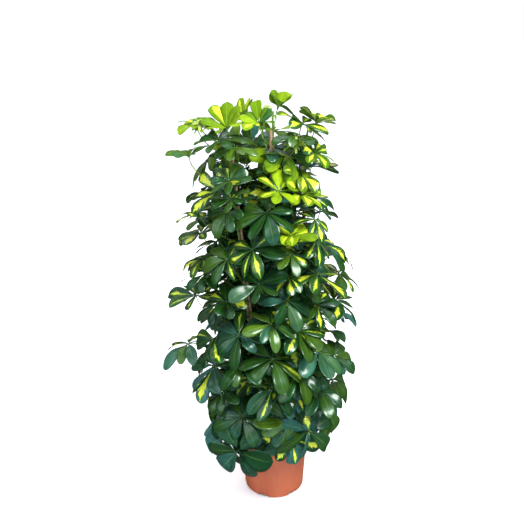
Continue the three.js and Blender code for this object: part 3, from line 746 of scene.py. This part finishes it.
# %% Stalk and knob
STALK_RINGS = 13
STALK_RADII = 1.55 + 0.5 * np.linspace(0, 1, STALK_RINGS) ** 2
STALK_RADII[-2:] = (2.5, 3.4)


def seat_height(leaf):
    """How high on its stem a leaf's stalk sits."""
    return clamp(leaf["hub"][2] - leaf["drop"], SOIL_TOP + 24, STEMS[leaf["stem"]]["tip"][2] - 8)


def stalk_points(leaf):
    """A curve that leaves the hub straight down and bends over to the stem."""
    seat = stem_at(STEMS[leaf["stem"]], seat_height(leaf))
    top = leaf["hub"] - leaf["normal"] * HUB_DEPTH
    bend = top - leaf["normal"] * 0.42 * np.linalg.norm(top - seat)
    t = np.linspace(0, 1, STALK_RINGS)[:, None]
    return (1 - t) ** 2 * top + 2 * t * (1 - t) * bend + t ** 2 * seat


def knob_points(leaf):
    n = leaf["normal"]
    return [leaf["hub"] + n * h for h in (-3.4, -2.2, -0.6, 0.8, 1.5)], (1.9, 3.4, 3.9, 2.9, 0.9)


print("top leaf's stalk sits", round(LEAVES[0]["hub"][2] - seat_height(LEAVES[0])), "mm below its hub")

# %% One whole leaf
def leaf_tone(leaf, rnd):
    """From 0, deep blue-green with dust and a painted sheen, to 1, warm and light: low leaves are deeper,
    lime ones lighter.
    """
    low = clamp((620 - leaf["hub"][2]) / 350, 0, 1)
    tone = (0.16 + 0.84 * rnd()) * (1 - 0.75 * low)
    if leaf["index"] in LIME_LEAVES and not 0 < leaf["index"] < 5:
        tone = 0.4 + 0.6 * tone
    return tone


def add_leaf(into, leaf, grid):
    """Its leaflets, each a little different, then its stalk and the knob where they meet."""
    rnd = draw(LOOK_SEED + leaf["index"] * LOOK_STEP)
    axes = leaf_axes(leaf)
    age, share = leaf_look(leaf, rnd)
    tone = leaf_tone(leaf, rnd)
    for i in range(leaf["count"]):
        angle = leaf["twist"] + 2 * math.pi * i / leaf["count"] + (rnd() - 0.5) * 0.44
        length = leaf["size"] * (0.78 + 0.36 * rnd())
        points = leaflet_points(grid, leaf, axes, angle, length, rnd)
        splash = 0.22 + 0.55 * rnd() if rnd() < share else 0.0
        shade = tone + (rnd() - 0.5) * (1.1 - 0.7 * age)
        values = (clamp(age + (rnd() - 0.5) * 0.3, 0, 1), splash, rnd(), clamp(shade, 0, 1))
        upper = YOUNG_UPPER if age < YOUNG_AGE else UPPER
        slots = [upper if side == UPPER else side for side in grid["slots"]]
        into.take(points, grid["faces"], slots, grid["uv"], values)
    for centres, radii in ((stalk_points(leaf), STALK_RADII), knob_points(leaf)):
        into.take_stalk(centres, radii, 8, age)


print("top leaf's tone:", round(leaf_tone(LEAVES[0], draw(LOOK_SEED)), 2))

# %% Leaves in the shade and over the rim
SHADE_COUNT, SHADE_FROM, SHADE_SPAN = 165, 286, 964
SHADE_NUMBER, SHADE_SEED, SHADE_STEP = 4000, 31000, 17
RIM_NUMBER, RIM_LEAVES = 4900, [((-165, -95, 262), (-0.6, -0.6, 0.5))]


def shade_leaves():
    """Leaves deep inside the column, where only their dark mass shows between the outer ones."""
    made = []
    for i in range(SHADE_COUNT):
        z = SHADE_FROM + SHADE_SPAN * ((i + 0.5) / SHADE_COUNT) ** 1.2
        rnd = draw(SHADE_SEED + i * SHADE_STEP)
        spot = {"turn": (i * GOLDEN * 1.31 + 0.4) % (2 * math.pi), "z": z, "reach": 0.3 + 0.5 * rnd(),
                "leaflets": 6, "lift": OPEN_LIFT}
        pose = leaf_pose(spot, SHADE_NUMBER + i, 0)
        pose.update(index=SHADE_NUMBER + i, stem=carrier(pose["hub"]), count=7, broad=1.1)
        if z < 1000 or i % 3:
            made.append(pose)
    return made


def rim_leaves():
    """Leaves low over the pot's rim, behind the front row, each given by its hub and facing."""
    made = []
    for j, (hub, facing) in enumerate(RIM_LEAVES):
        spot = {"turn": 0.0, "z": hub[2], "reach": 1.0, "leaflets": 6, "lift": OPEN_LIFT}
        pose = leaf_pose(spot, RIM_NUMBER + j, 0)
        pose.update(hub=np.array(hub, float), normal=np.array(facing) / np.linalg.norm(facing))
        pose.update(index=RIM_NUMBER + j, stem=carrier(pose["hub"]), count=7, broad=1.15)
        made.append(pose)
    return made


SHADE = shade_leaves()
print("in the shade:", len(SHADE), "over the rim:", len(rim_leaves()))

# %% All leaves, in a few pieces for each stem
OUTER_GROUP, SHADE_GROUP = 9, 40


def gather(leaves, name, node, group, grid):
    """Join leaves, so many to a piece, into pieces that stand in for one stem of the frame."""
    for part, start in enumerate(range(0, len(leaves), group)):
        into = Gathered()
        for leaf in leaves[start:start + group]:
            add_leaf(into, leaf, grid)
        yield place(into.finish(f"{name}_{part + 1:02d}", LEAF_SKINS), node)


FOLIAGE = []
for k, node in enumerate(STEM_NAMES):
    outer = [leaf for leaf in LEAVES + rim_leaves() if leaf["stem"] == k]
    outer.sort(key=lambda leaf: leaf["hub"][2])
    deep = [leaf for leaf in SHADE if leaf["stem"] == k]
    FOLIAGE += gather(outer, f"leaves_{side_of(node)}", node, OUTER_GROUP, FINE)
    FOLIAGE += gather(deep, f"shade_leaves_{side_of(node)}", node, SHADE_GROUP, COARSE)
print("leaf pieces:", len(FOLIAGE), "faces:", sum(len(o.data.polygons) for o in FOLIAGE))

# %% [markdown]
# ## Young shoots
# At the top, pale shoots are still unfolding: tiny narrow leaflets stand in tufts on short stalks.
# They use the same leaflet form, narrower and lifted, with an age below zero for the palest green.

# %% Young shoots
# The stem that each grows from, then the shoot's base and tip.
SHOOTS = [
    ("left", 0, (-150, -20, 1252), (-222, -56, 1296)),
    ("right", 2, (92, 4, 1262), (52, -98, 1252)),
    ("back", 3, (-44, 98, 1282), (-36, 92, 1316)),
]
SHOOT_SEED, SHOOT_RINGS, TUFT = 600, 9, 8


def shoot_path(base, tip):
    t = np.linspace(0, 1, SHOOT_RINGS)[:, None]
    base, tip = np.array(base, float), np.array(tip, float)
    bend = np.array([(base[0] + 2 * tip[0]) / 3, (base[1] + 2 * tip[1]) / 3, base[2] + 6])
    return (1 - t) ** 2 * base + 2 * t * (1 - t) * bend + t ** 2 * tip


def young_shoot(label, k, base, tip, seed):
    """A short shoot with a tuft of tiny leaves around its tip, six leaflets of 20 to 40 mm on each."""
    rnd = draw(seed)
    into = Gathered()
    into.take_stalk(shoot_path(base, tip), np.linspace(2.6, 1.7, SHOOT_RINGS), 8, 0.0)
    slots = [YOUNG_UPPER if side == UPPER else side for side in COARSE["slots"]]
    for j in range(TUFT):
        turn, rise = j * GOLDEN, 0.35 + 0.9 * rnd()
        normal = np.array([math.cos(turn) * math.cos(rise), math.sin(turn) * math.cos(rise), math.sin(rise)])
        lower = np.array([0, 0, 4.0 * j / TUFT])
        hub = np.array(tip, float) + normal * (10 + 16 * rnd()) - lower
        leaf = {"hub": hub, "normal": normal, "lift": 0.7 + 0.6 * rnd(), "droop": 0.5, "broad": 0.58}
        into.take_stalk([np.array(tip) - lower, hub], [1.2, 0.9], 6, 0.0)
        for i in range(6):
            length = 20 + 20 * rnd()
            angle = i * math.pi / 3 + rnd() * 0.4
            points = leaflet_points(COARSE, leaf, leaf_axes(leaf), angle, length, rnd)
            into.take(points, COARSE["faces"], slots, COARSE["uv"], (-0.5 * rnd(), 0.0, rnd(), rnd()))
    return place(into.finish(f"young_shoot_{label}", LEAF_SKINS), STEM_NAMES[k])


YOUNG = [young_shoot(*shoot, SHOOT_SEED + i) for i, shoot in enumerate(SHOOTS)]
print("young shoots:", [o.name for o in YOUNG])

# %% [markdown]
# ## Stems
# Each stem is a thin, slightly knobbly pole: every leaf leaves a ringed scar where its stalk sits.
# The rings are swellings in the radius at those seats, and the tip ends in a folded bud.

# %% Stem poles
BUD = ((5, 3.4), (12, 2.9), (20, 1.7), (27, 0.5))


def stem_pole(k, name):
    """From the bottom of its hole in the soil up to the bud, in rings about 7 mm apart."""
    stem = STEMS[k]
    seats = [seat_height(leaf) for leaf in LEAVES if leaf["stem"] == k]
    centres, radii = [], []
    for z in np.linspace(HOLE_FLOOR + 1, stem["tip"][2], 170):
        swell = sum(1.1 * math.exp(-((z - seat + 3) / 4.5) ** 2) for seat in seats)
        rough = 0.35 * noise.noise(Vector((k * 9.0, 0.0, z * 0.05)))
        centres.append(stem_at(stem, z))
        radii.append(stem_radius(stem, z) * 0.96 + min(1.3, swell) * 0.8 + rough)
    tip = centres[-1]
    for rise, radius in BUD:
        centres.append(tip + np.array([rise * 0.12, -rise * 0.08, rise]))
        radii.append(radius)
    points, faces = tube(centres, radii, 14)
    return place(mesh_object(f"stem_pole_{side_of(name)}", points, faces, [BARK]), name)


POLES = [stem_pole(k, name) for k, name in enumerate(STEM_NAMES)]
print("stem poles:", [o.name for o in POLES])

# %% [markdown]
# ## Canes and ties
# The canes are dry, pinkish-brown turned sticks with a fine lengthwise grain. Three of the stems
# are each held to a cane by two soft bands, which leave room for the stem to thicken.

# %% Canes
CANES = [
    {"name": "left", "stem": 0, "side": (0.95, -0.3), "top": 1235, "radius": 4.2, "ties": (420, 1040)},
    {"name": "front", "stem": 1, "side": (-0.75, -0.66), "top": 1300, "radius": 4.8, "ties": (460, 1120)},
    {"name": "right", "stem": 2, "side": (0.25, -1), "top": 1120, "radius": 4.2, "ties": (380, 960)},
]
CANE_STANDOFF = 2.2


def cane_at(cane, z):
    """The middle of a cane at height z: straight, and beside its stem at the two ties."""
    stem = STEMS[cane["stem"]]
    side = np.array([*cane["side"], 0.0]) / math.hypot(*cane["side"])
    low, high = (stem_at(stem, t) + side * (stem_radius(stem, t) + cane["radius"] + CANE_STANDOFF)
                 for t in cane["ties"])
    return low + (high - low) * (z - low[2]) / (high[2] - low[2])


def cane_wood():
    """Dry, unvarnished softwood: matte, with fine dark grain lines that run along the stick."""
    made, tree, shader = material("cane_dry_softwood", Roughness=0.62, IOR=1.48)
    place_on = add(tree, "TexCoord", {}).outputs["Object"]
    stretched = add(tree, "Mapping", {"Vector": place_on, "Scale": (1.0, 1.0, 0.04)})
    grain = add(tree, "TexNoise", {"Vector": stretched, "Scale": every(1.1), "Detail": 4.0})
    tint = add(tree, "TexNoise", {"Vector": place_on, "Scale": every(110), "Detail": 2.0})
    pale = add(tree, "Mix", {0: tint, 6: srgb("#C19B72"), 7: srgb("#B08A66")}, data_type="RGBA")
    dark = add(tree, "MapRange", {0: grain, 1: 0.4, 2: 0.7})
    colour = add(tree, "Mix", {0: dark, 6: pale, 7: srgb("#7F5E40")}, data_type="RGBA")
    bump = add(tree, "Bump", {"Height": grain, "Strength": 0.4, "Distance": 0.0004})
    feed(tree, shader, {"Base Color": colour, "Normal": bump})
    return made


def dress_cane(cane, wood):
    """A stick that tapers a little towards its rounded top."""
    heights = np.linspace(HOLE_FLOOR + 1, cane["top"], 60)
    share = (heights - HOLE_FLOOR) / (cane["top"] - HOLE_FLOOR)
    radii = cane["radius"] * (0.99 - 0.09 * share)
    radii[-1] *= 0.8
    points, faces = tube([cane_at(cane, z) for z in heights], radii, 20)
    stick = mesh_object(f"cane_{cane['name']}_stick", points, faces, [wood])
    return place(stick, f"cane_{cane['name']}")


WOOD = cane_wood()
print("cane material:", WOOD.name, "and the canes' tops:", [cane["top"] for cane in CANES], "mm")

# %% Ties
TIE_OUT, TIE_HALF_WALL, TIE_HALF_HEIGHT = 1.3, 0.85, 2.3


def tie_path(span, stem_r, cane_r):
    """The band's middle seen from above, round the stem and the cane, and the way outward from it."""
    half = np.linspace(-math.pi / 2, math.pi / 2, 14)
    path = [(span + cane_r * math.cos(t), cane_r * math.sin(t)) for t in half]
    path += [(-stem_r * math.cos(t), -stem_r * math.sin(t)) for t in half]
    path = np.array(path)
    tangents = np.roll(path, -1, 0) - np.roll(path, 1, 0)
    outward = np.stack([tangents[:, 1], -tangents[:, 0]], 1) / np.linalg.norm(tangents, axis=1)[:, None]
    return path, outward


def tie_ring(cane, z, soft):
    """A closed band at height z, swept along its path with a flat oval section."""
    stem = STEMS[cane["stem"]]
    a, b = stem_at(stem, z), cane_at(cane, z)
    heading = math.atan2(b[1] - a[1], b[0] - a[0])
    span = math.hypot(b[0] - a[0], b[1] - a[1])
    path, outward = tie_path(span, stem_radius(stem, z) + TIE_OUT, cane["radius"] + TIE_OUT)
    points, faces, sides = [], [], 8
    for (x, y), (ox, oy) in zip(path, outward):
        for k in range(sides):
            turn = 2 * math.pi * (k + 0.5) / sides
            grow, rise = TIE_HALF_WALL * math.cos(turn), TIE_HALF_HEIGHT * math.sin(turn)
            px, py = x + ox * grow, y + oy * grow
            points.append((a[0] + px * math.cos(heading) - py * math.sin(heading),
                           a[1] + px * math.sin(heading) + py * math.cos(heading), z + rise))
    count = len(path)
    for j in range(count):
        for k in range(sides):
            nj, nk = (j + 1) % count, (k + 1) % sides
            faces.append((j * sides + k, nj * sides + k, nj * sides + nk, j * sides + nk))
    name = f"tie_{cane['name']}_{'lower' if z == cane['ties'][0] else 'upper'}"
    return place(mesh_object(f"{name}_band", np.array(points) / 1000, faces, [soft]), name)


def tie_plastic():
    """Soft vinyl: dull green with a faint sheen, mottled every few millimetres where it has stretched."""
    made, tree, shader = material("tie_soft_vinyl", Roughness=0.5, IOR=1.5)
    place_on = add(tree, "TexCoord", {}).outputs["Object"]
    rough = add(tree, "TexNoise", {"Vector": place_on, "Scale": every(3.3), "Detail": 2.0})
    colour = add(tree, "Mix", {0: rough, 6: srgb("#2C5632"), 7: srgb("#3F6E42")}, data_type="RGBA")
    feed(tree, shader, {"Base Color": colour})
    return made


SOFT = tie_plastic()
DRESSED = []
for cane in CANES:
    DRESSED += [dress_cane(cane, WOOD)] + [tie_ring(cane, z, SOFT) for z in cane["ties"]]
print("canes and ties dressed:", [made.name for made in DRESSED])

# %% [markdown]
# ## The pot
# A moulded nursery pot: a thin tapered wall with a collar at the rim, turned here as a fine profile.
# Its terracotta-coloured plastic is satin, a little uneven in tone, with fine scuffs and a few
# splashes of dried soil. Slots cut through the lower edge let water out.

# %% Pot form
POT_HEIGHT, BASE_R, RIM_R, WALL, FLOOR = 200, 107, 120, 2.6, 3.2
RIM_DEPTH, RIM_STEP, FOOT = 26, 2.4, 5
DRAIN_COUNT, DRAIN_TURN, DRAIN_RING, DRAIN_R = 6, -0.38, 72, 6
NOTCH_WIDTH, NOTCH_HEIGHT, NOTCH_FROM, NOTCH_MIDDLE = 36, 9, 95, 115


def wall_radius(z):
    """Outer radius of the tapered wall, without the collar."""
    return BASE_R + (RIM_R - RIM_STEP - BASE_R) * z / POT_HEIGHT


def pot_profile():
    """The section's outline: base, rounded foot, wall, step, collar, round lip, and back inside."""
    under = POT_HEIGHT - RIM_DEPTH
    outer = [(0, 0), (40, 0), (80, 0), (BASE_R - FOOT, 0)]
    for t in np.linspace(0.15, 1, 7):
        turn = t * math.pi / 2
        outer.append((BASE_R - FOOT + FOOT * 1.05 * math.sin(turn), FOOT * (1 - math.cos(turn))))
    outer += [(wall_radius(z), z) for z in np.linspace(FOOT + 4, under - 1, 16)]
    outer += [(wall_radius(under) + RIM_STEP * t, under + 1.2 * t * t) for t in (0.25, 0.6, 0.88, 1.0)]
    outer += [(RIM_R + (wall_radius(under) + RIM_STEP - RIM_R) * t, POT_HEIGHT - 2.2 - 21 * t)
              for t in np.linspace(0.85, 0, 6)]
    lip = RIM_R - 1.8
    outer += [(lip + 1.8 * math.cos(t), POT_HEIGHT - 1.8 + 1.8 * math.sin(t))
              for t in np.linspace(0.3, math.pi - 0.4, 8)]
    inner = [(RIM_R - WALL - 1.2, POT_HEIGHT - 4), (wall_radius(under) - WALL + 0.6, under + 1)]
    inner += [(wall_radius(z) - WALL, z) for z in np.linspace(under - 3, FLOOR + 1, 12)]
    inner += [(wall_radius(FLOOR) - WALL - 2, FLOOR), (60, FLOOR), (0, FLOOR)]
    return outer + inner


print("points in the pot's section:", len(pot_profile()))

# %% Turning the section, and cutting holes
def lathe(name, profile, sides, materials):
    """Turn a section around Z; a point on the axis is made once."""
    points, faces = [], []
    ring = [i for i, (r, _) in enumerate(profile) if r > 0]
    place_of = {}
    for i, (r, z) in enumerate(profile):
        place_of[i] = len(points)
        if r > 0:
            points += [(r * math.cos(t), r * math.sin(t), z) for t in np.arange(sides) * 2 * math.pi / sides]
        else:
            points.append((0, 0, z))
    for i in range(len(profile) - 1):
        a, b = place_of[i], place_of[i + 1]
        for k in range(sides):
            n = (k + 1) % sides
            if i not in ring:
                faces.append((a, b + n, b + k))
            elif i + 1 not in ring:
                faces.append((a + k, a + n, b))
            else:
                faces.append((a + k, a + n, b + n, b + k))
    return mesh_object(name, np.array(points) / 1000, faces, materials)


def cut(target, cutters):
    """Take the cutters' volume out of a piece, and leave no modifier behind."""
    for cutter in cutters:
        step = target.modifiers.new("cut", "BOOLEAN")
        step.operation, step.object, step.solver = "DIFFERENCE", cutter, "EXACT"
    bpy.context.view_layer.update()
    evaluated = target.evaluated_get(bpy.context.evaluated_depsgraph_get())
    result = bpy.data.meshes.new_from_object(evaluated)
    target.modifiers.clear()
    target.data = result
    for cutter in cutters:
        bpy.data.objects.remove(cutter)


def drain_cutters():
    """Round holes through the floor, each in line with a slot through the lower edge."""
    made, middle = [], NOTCH_MIDDLE / 1000
    for i in range(DRAIN_COUNT):
        turn = 2 * math.pi * i / DRAIN_COUNT - math.pi / 2 + DRAIN_TURN
        bpy.ops.mesh.primitive_cylinder_add(vertices=24, radius=DRAIN_R / 1000, depth=0.02, location=(
            DRAIN_RING * math.cos(turn) / 1000, DRAIN_RING * math.sin(turn) / 1000, 0))
        made.append(bpy.context.object)
        at = (middle * math.cos(turn), middle * math.sin(turn), 0)
        bpy.ops.mesh.primitive_cube_add(size=1, location=at)
        block = bpy.context.object
        block.scale = (2 * (middle - NOTCH_FROM / 1000), NOTCH_WIDTH / 1000, 2 * NOTCH_HEIGHT / 1000)
        block.rotation_euler[2] = turn
        made.append(block)
    return made


print("drainage holes:", DRAIN_COUNT, "of", 2 * DRAIN_R, "mm, on a circle of", 2 * DRAIN_RING, "mm")

# %% Pot finish
def pot_plastic():
    """Injection-moulded polypropylene: satin, with long faint flow streaks and fine scuffs."""
    made, tree, shader = material("pot_moulded_polypropylene", Roughness=0.46, IOR=1.49)
    place_on = add(tree, "TexCoord", {}).outputs["Object"]
    clouds = add(tree, "TexNoise", {"Vector": place_on, "Scale": every(110), "Detail": 4.0})
    flow = add(tree, "Mapping", {"Vector": place_on, "Scale": (1.0, 1.0, 0.12)})
    streaks = add(tree, "TexNoise", {"Vector": flow, "Scale": every(14), "Detail": 3.0})
    fine = add(tree, "TexNoise", {"Vector": place_on, "Scale": every(1.1), "Detail": 2.0})
    cloudy = add(tree, "MapRange", {0: clouds, 1: 0.3, 2: 0.7})
    colour = add(tree, "Mix", {0: cloudy, 6: srgb("#B45533"), 7: srgb("#C2643C")}, data_type="RGBA")
    streaky = add(tree, "MapRange", {0: streaks, 1: 0.45, 2: 0.8, 4: 0.22})
    colour = add(tree, "Mix", {0: streaky, 6: colour, 7: srgb("#CA7650")}, data_type="RGBA")
    patchy = add(tree, "MapRange", {0: clouds, 1: 0.52, 2: 0.7, 4: 0.35})
    dust = add(tree, "MapRange", {0: fine, 1: 0.62, 2: 0.7, 4: patchy})
    colour = add(tree, "Mix", {0: dust, 6: colour, 7: srgb("#7C4836")}, data_type="RGBA")
    satin = add(tree, "MapRange", {0: streaks, 1: 0.3, 2: 0.7, 3: 0.4, 4: 0.56})
    bump = add(tree, "Bump", {"Height": fine, "Strength": 0.18, "Distance": 0.0003})
    feed(tree, shader, {"Base Color": colour, "Roughness": satin, "Normal": bump})
    return made


POT = lathe("pot_shell", pot_profile(), 160, [pot_plastic()])
cut(POT, drain_cutters())
place(POT, "pot")
print("pot faces:", len(POT.data.polygons))

# %% [markdown]
# ## The soil
# Damp peat-based compost, 24 mm under the rim, lumpy and almost black, with a few white grains of
# perlite. A flat dark disc would do from far off, but between the stems its top is seen from near
# by, so it is a bumpy surface with loose crumbs on it.

# %% Soil finish
def soil_skin():
    """Damp peat: almost black and without gloss; its 4 mm lumps have a painted highlight on their tops and
    painted shade between them.
    """
    made, tree, shader = material("soil_damp_peat", Roughness=0.92, IOR=1.4)
    place_on = add(tree, "TexCoord", {}).outputs["Object"]
    lumps = add(tree, "TexNoise", {"Vector": place_on, "Scale": every(4), "Detail": 6.0, "Roughness": 0.7})
    # Painted light: the lumps that raise the bump are coloured lighter on top and darker in the hollows.
    painted_light_on_lumps = add(tree, "MapRange", {0: lumps, 1: 0.35, 2: 0.65})
    colour = add(tree, "Mix", {0: painted_light_on_lumps, 6: srgb("#221812"), 7: srgb("#4A3526")}, data_type="RGBA")
    bump = add(tree, "Bump", {"Height": lumps, "Strength": 0.9, "Distance": 0.002})
    feed(tree, shader, {"Base Color": colour, "Normal": bump})
    return made


def grain_skin():
    """Perlite is foamed glass: a dusty off-white with 1.4 mm pits, so that it never shines."""
    made, tree, shader = material("perlite_expanded_grain", Roughness=0.85, IOR=1.4)
    place_on = add(tree, "TexCoord", {}).outputs["Object"]
    pits = add(tree, "TexNoise", {"Vector": place_on, "Scale": every(1.4), "Detail": 3.0})
    colour = add(tree, "Mix", {0: pits, 6: srgb("#B9B3A6"), 7: srgb("#E6E2D8")}, data_type="RGBA")
    feed(tree, shader, {"Base Color": colour})
    return made


SOIL_SKIN, GRAIN_SKIN = soil_skin(), grain_skin()
print("soil materials:", SOIL_SKIN.name, "and", GRAIN_SKIN.name)

# %% Soil form: how far its top stands above or below its level, from the middle outwards
DOME = [(0, 1), (34, 2.2), (80, -1)]
CRUMB_REACH = 108


def soil_body(skin):
    """A lumpy disc, heaped up around the stems, and a plain body below it that fills the pot."""
    rings, sides = 34, 110
    points, faces = [(0, 0, SOIL_TOP + 1)], []
    outer = wall_radius(SOIL_TOP - 2) - WALL - 1.0
    for j in range(1, rings + 1):
        r = outer * j / rings
        for k in range(sides):
            t = 2 * math.pi * k / sides
            x, y = r * math.cos(t), r * math.sin(t)
            dome = along(DOME + [(outer - 6, -4), (outer, -7)], r)
            lumps = 1.6 * noise.noise(Vector((x * 0.06, y * 0.06, 3)))
            lumps += 1.2 * noise.noise(Vector((x * 0.2, y * 0.2, 7)))
            points.append((x, y, SOIL_TOP + dome + lumps * (1 if j < rings else 0.3) - 0.6))
    for r, z in ((wall_radius(100) - WALL - 0.6, 100), (wall_radius(FLOOR) - WALL - 1, FLOOR + 0.5)):
        points += [(r * math.cos(t), r * math.sin(t), z) for t in np.arange(sides) * 2 * math.pi / sides]
    points.append((0, 0, FLOOR + 0.5))
    for k in range(sides):
        n = (k + 1) % sides
        faces.append((0, 1 + k, 1 + n))
        for j in range(rings + 1):
            a, b = 1 + j * sides, 1 + (j + 1) * sides
            faces.append((a + k, b + k, b + n, a + n))
        last = 1 + (rings + 1) * sides
        faces.append((last + k, len(points) - 1, last + n))
    return mesh_object("soil_fill", np.array(points) / 1000, faces, [skin])


def crumbs(count, size, name, skin, seed):
    """Loose grains, each a ball pushed out of round, half sunk in the soil's top."""
    rnd = draw(seed)
    gathered = bmesh.new()
    for _ in range(count):
        r, t = CRUMB_REACH * math.sqrt(rnd()), 2 * math.pi * rnd()
        radius = size * (0.5 + rnd())
        x, y = r * math.cos(t), r * math.sin(t)
        z = SOIL_TOP + along(DOME + [(105, -4), (112, -7)], r) + radius * 0.1
        made = bmesh.ops.create_icosphere(gathered, subdivisions=1, radius=radius / 1000)["verts"]
        for vert in made:
            stretch = 0.75 + 0.5 * noise.noise(vert.co * 900 + Vector((x, y, seed)))
            vert.co = Vector((x, y, z)) / 1000 + vert.co * stretch
    mesh = bpy.data.meshes.new(name)
    gathered.to_mesh(mesh)
    gathered.free()
    mesh.materials.append(skin)
    made = bpy.data.objects.new(name, mesh)
    bpy.context.scene.collection.objects.link(made)
    return made


SOIL = place(soil_body(SOIL_SKIN), "soil")
place(crumbs(420, 1.9, "soil_crumbs", SOIL_SKIN, 4), "soil")
place(crumbs(70, 1.3, "perlite_grains", GRAIN_SKIN, 9), "soil")
print("soil faces:", len(SOIL.data.polygons))

# %% [markdown]
# ## Light, floor and camera
# A large soft key light stands in front, high on the right, with a weak fill on the left and a
# lamp behind that lights the edges. Waxed leaves show what they mirror, so the surroundings matter
# as much: a patchy bright ceiling gives each leaf its own light, dim sides keep their colour deep,
# and a bluish window in front lays a cool sheen on those that face it. The camera sees plain white.
# It looks slightly down at the plant, as in the photograph.

# %% Floor and lamps
def floor():
    """Pale and matte, with a painted glow that is faint near the plant and brighter far away; kept out of
    gloss, where it greyed the leaves.
    """
    made, tree, shader = material("studio_floor_pale", Roughness=0.8)
    place_on = add(tree, "TexCoord", {}).outputs["Object"]
    far = add(tree, "VectorMath", {0: place_on}, operation="LENGTH").outputs["Value"]
    # Painted light: the floor glows more the further it lies from the middle.
    glow = add(tree, "MapRange", {0: far, 1: 0.6, 2: 4.0, 3: 0.1, 4: 0.6}, interpolation_type="SMOOTHSTEP")
    feed(tree, shader, {"Base Color": srgb("#F9F8F7"), "Emission Color": srgb("#FFFFFF"),
                        "Emission Strength": glow})
    corners = [(-300, -300, 0), (300, -300, 0), (300, 300, 0), (-300, 300, 0)]
    plate = mesh_object("studio_floor", corners, [(0, 1, 2, 3)], [made])
    plate.visible_glossy = False
    return plate


def area_light(name, place_at, aim, size, power, colour):
    """A round soft lamp, its size in metres and its power in watts, that faces a point."""
    data = bpy.data.lights.new(name, "AREA")
    data.shape, data.size, data.energy, data.color = "DISK", size, power, colour
    lamp = bpy.data.objects.new(name, data)
    bpy.context.scene.collection.objects.link(lamp)
    lamp.location = place_at
    lamp.rotation_euler = (Vector(aim) - Vector(place_at)).to_track_quat("-Z", "Y").to_euler()
    return lamp


floor()
area_light("key_overhead_right", (1.1, -1.5, 3.2), (0, 0, 0.7), 1.5, 142, (1.0, 0.99, 0.95))
area_light("fill_left", (-2.3, -1.6, 1.9), (0, 0, 0.5), 1.8, 14, (0.93, 0.97, 1.0))
rim = area_light("rim_back", (-0.8, 2.3, 2.6), (0, 0, 0.8), 1.6, 84, (1.0, 1.0, 0.96))
rim.visible_glossy = False

# %% What the leaves mirror
# The panels' noise has 2.6 cells for each unit of direction, so about five across the whole sky.
PANEL_SCALE = 2.6


def front_window(tree, around, height):
    """A window in front, from the horizon to a little above it."""
    ahead = add(tree, "SeparateXYZ", {0: around}).outputs[1]
    window = add(tree, "MapRange", {0: ahead, 1: -0.45, 2: -0.9})
    band = add(tree, "MapRange", {0: height, 1: 0.42, 2: 0.3})
    window = add(tree, "Math", {0: window, 1: band}, operation="MULTIPLY")
    band = add(tree, "MapRange", {0: height, 1: -0.05, 2: 0.04, 4: 1.9})
    return add(tree, "Math", {0: window, 1: band}, operation="MULTIPLY")


def studio_air():
    """Bright and dark panels overhead, dim sides and the front window; white for the camera."""
    world = bpy.data.worlds.new("studio_air")
    world.use_nodes = True
    tree = world.node_tree
    around = add(tree, "TexCoord", {}).outputs["Generated"]
    height = add(tree, "SeparateXYZ", {0: around}).outputs[2]
    raised = add(tree, "MapRange", {0: height, 1: -1.0, 2: 1.0})
    ramp = add(tree, "FloatCurve", {1: raised})
    curve = ramp.mapping.curves[0]
    curve.points[0].location, curve.points[1].location = (0.0, 0.05), (1.0, 0.74)
    for x, y in ((0.48, 0.05), (0.5, 0.12), (0.53, 0.12), (0.58, 0.05), (0.7, 0.09), (0.87, 0.66)):
        curve.points.new(x, y)
    ramp.mapping.update()
    clouds = add(tree, "TexNoise", {"Vector": around, "Scale": PANEL_SCALE, "Detail": 1.0})
    panels = add(tree, "MapRange", {0: clouds, 1: 0.42, 2: 0.58, 3: 0.15, 4: 2.4})
    overhead = add(tree, "MapRange", {0: height, 1: 0.25, 2: 0.45})
    patchy = add(tree, "Mix", {0: overhead, 2: 1.0, 3: panels})
    strength = add(tree, "Math", {0: ramp, 1: patchy}, operation="MULTIPLY")
    strength = add(tree, "Math", {0: strength, 1: 1.75}, operation="MULTIPLY")
    window = front_window(tree, around, height)
    strength = add(tree, "Math", {0: window, 1: strength}, operation="ADD")
    sky = add(tree, "Mix", {0: overhead, 6: srgb("#FFFFFF"), 7: srgb("#E6F0FF")}, data_type="RGBA")
    sky = add(tree, "Mix", {0: window, 6: sky, 7: srgb("#9CC4FF")}, data_type="RGBA")
    seen = add(tree, "LightPath", {}).outputs["Is Camera Ray"]
    strength = add(tree, "Mix", {0: seen, 2: strength, 3: 1.0})
    sky = add(tree, "Mix", {0: seen, 6: sky, 7: srgb("#FFFFFF")}, data_type="RGBA")
    feed(tree, tree.nodes["Background"], {"Strength": strength, "Color": sky})
    bpy.context.scene.world = world


studio_air()
bpy.context.scene.view_settings.view_transform = "Standard"
print("surroundings:", bpy.context.scene.world.name)

# %% Camera, fitted to the outlines of the pot's rim and base in the photograph
FOCAL_PX, FRAME_PX, PITCH, SENSOR_MM = 616, 524, 19.88, 36
camera = bpy.data.objects.new("camera", bpy.data.cameras.new("camera"))
bpy.context.scene.collection.objects.link(camera)
camera.data.sensor_width = SENSOR_MM
camera.data.lens = SENSOR_MM * FOCAL_PX / FRAME_PX
camera.location = (-0.045, -1.9, 1.55)
camera.rotation_euler = (math.radians(90 - PITCH), 0, 0)
bpy.context.scene.camera = camera
print("lens", round(camera.data.lens, 2), "mm")
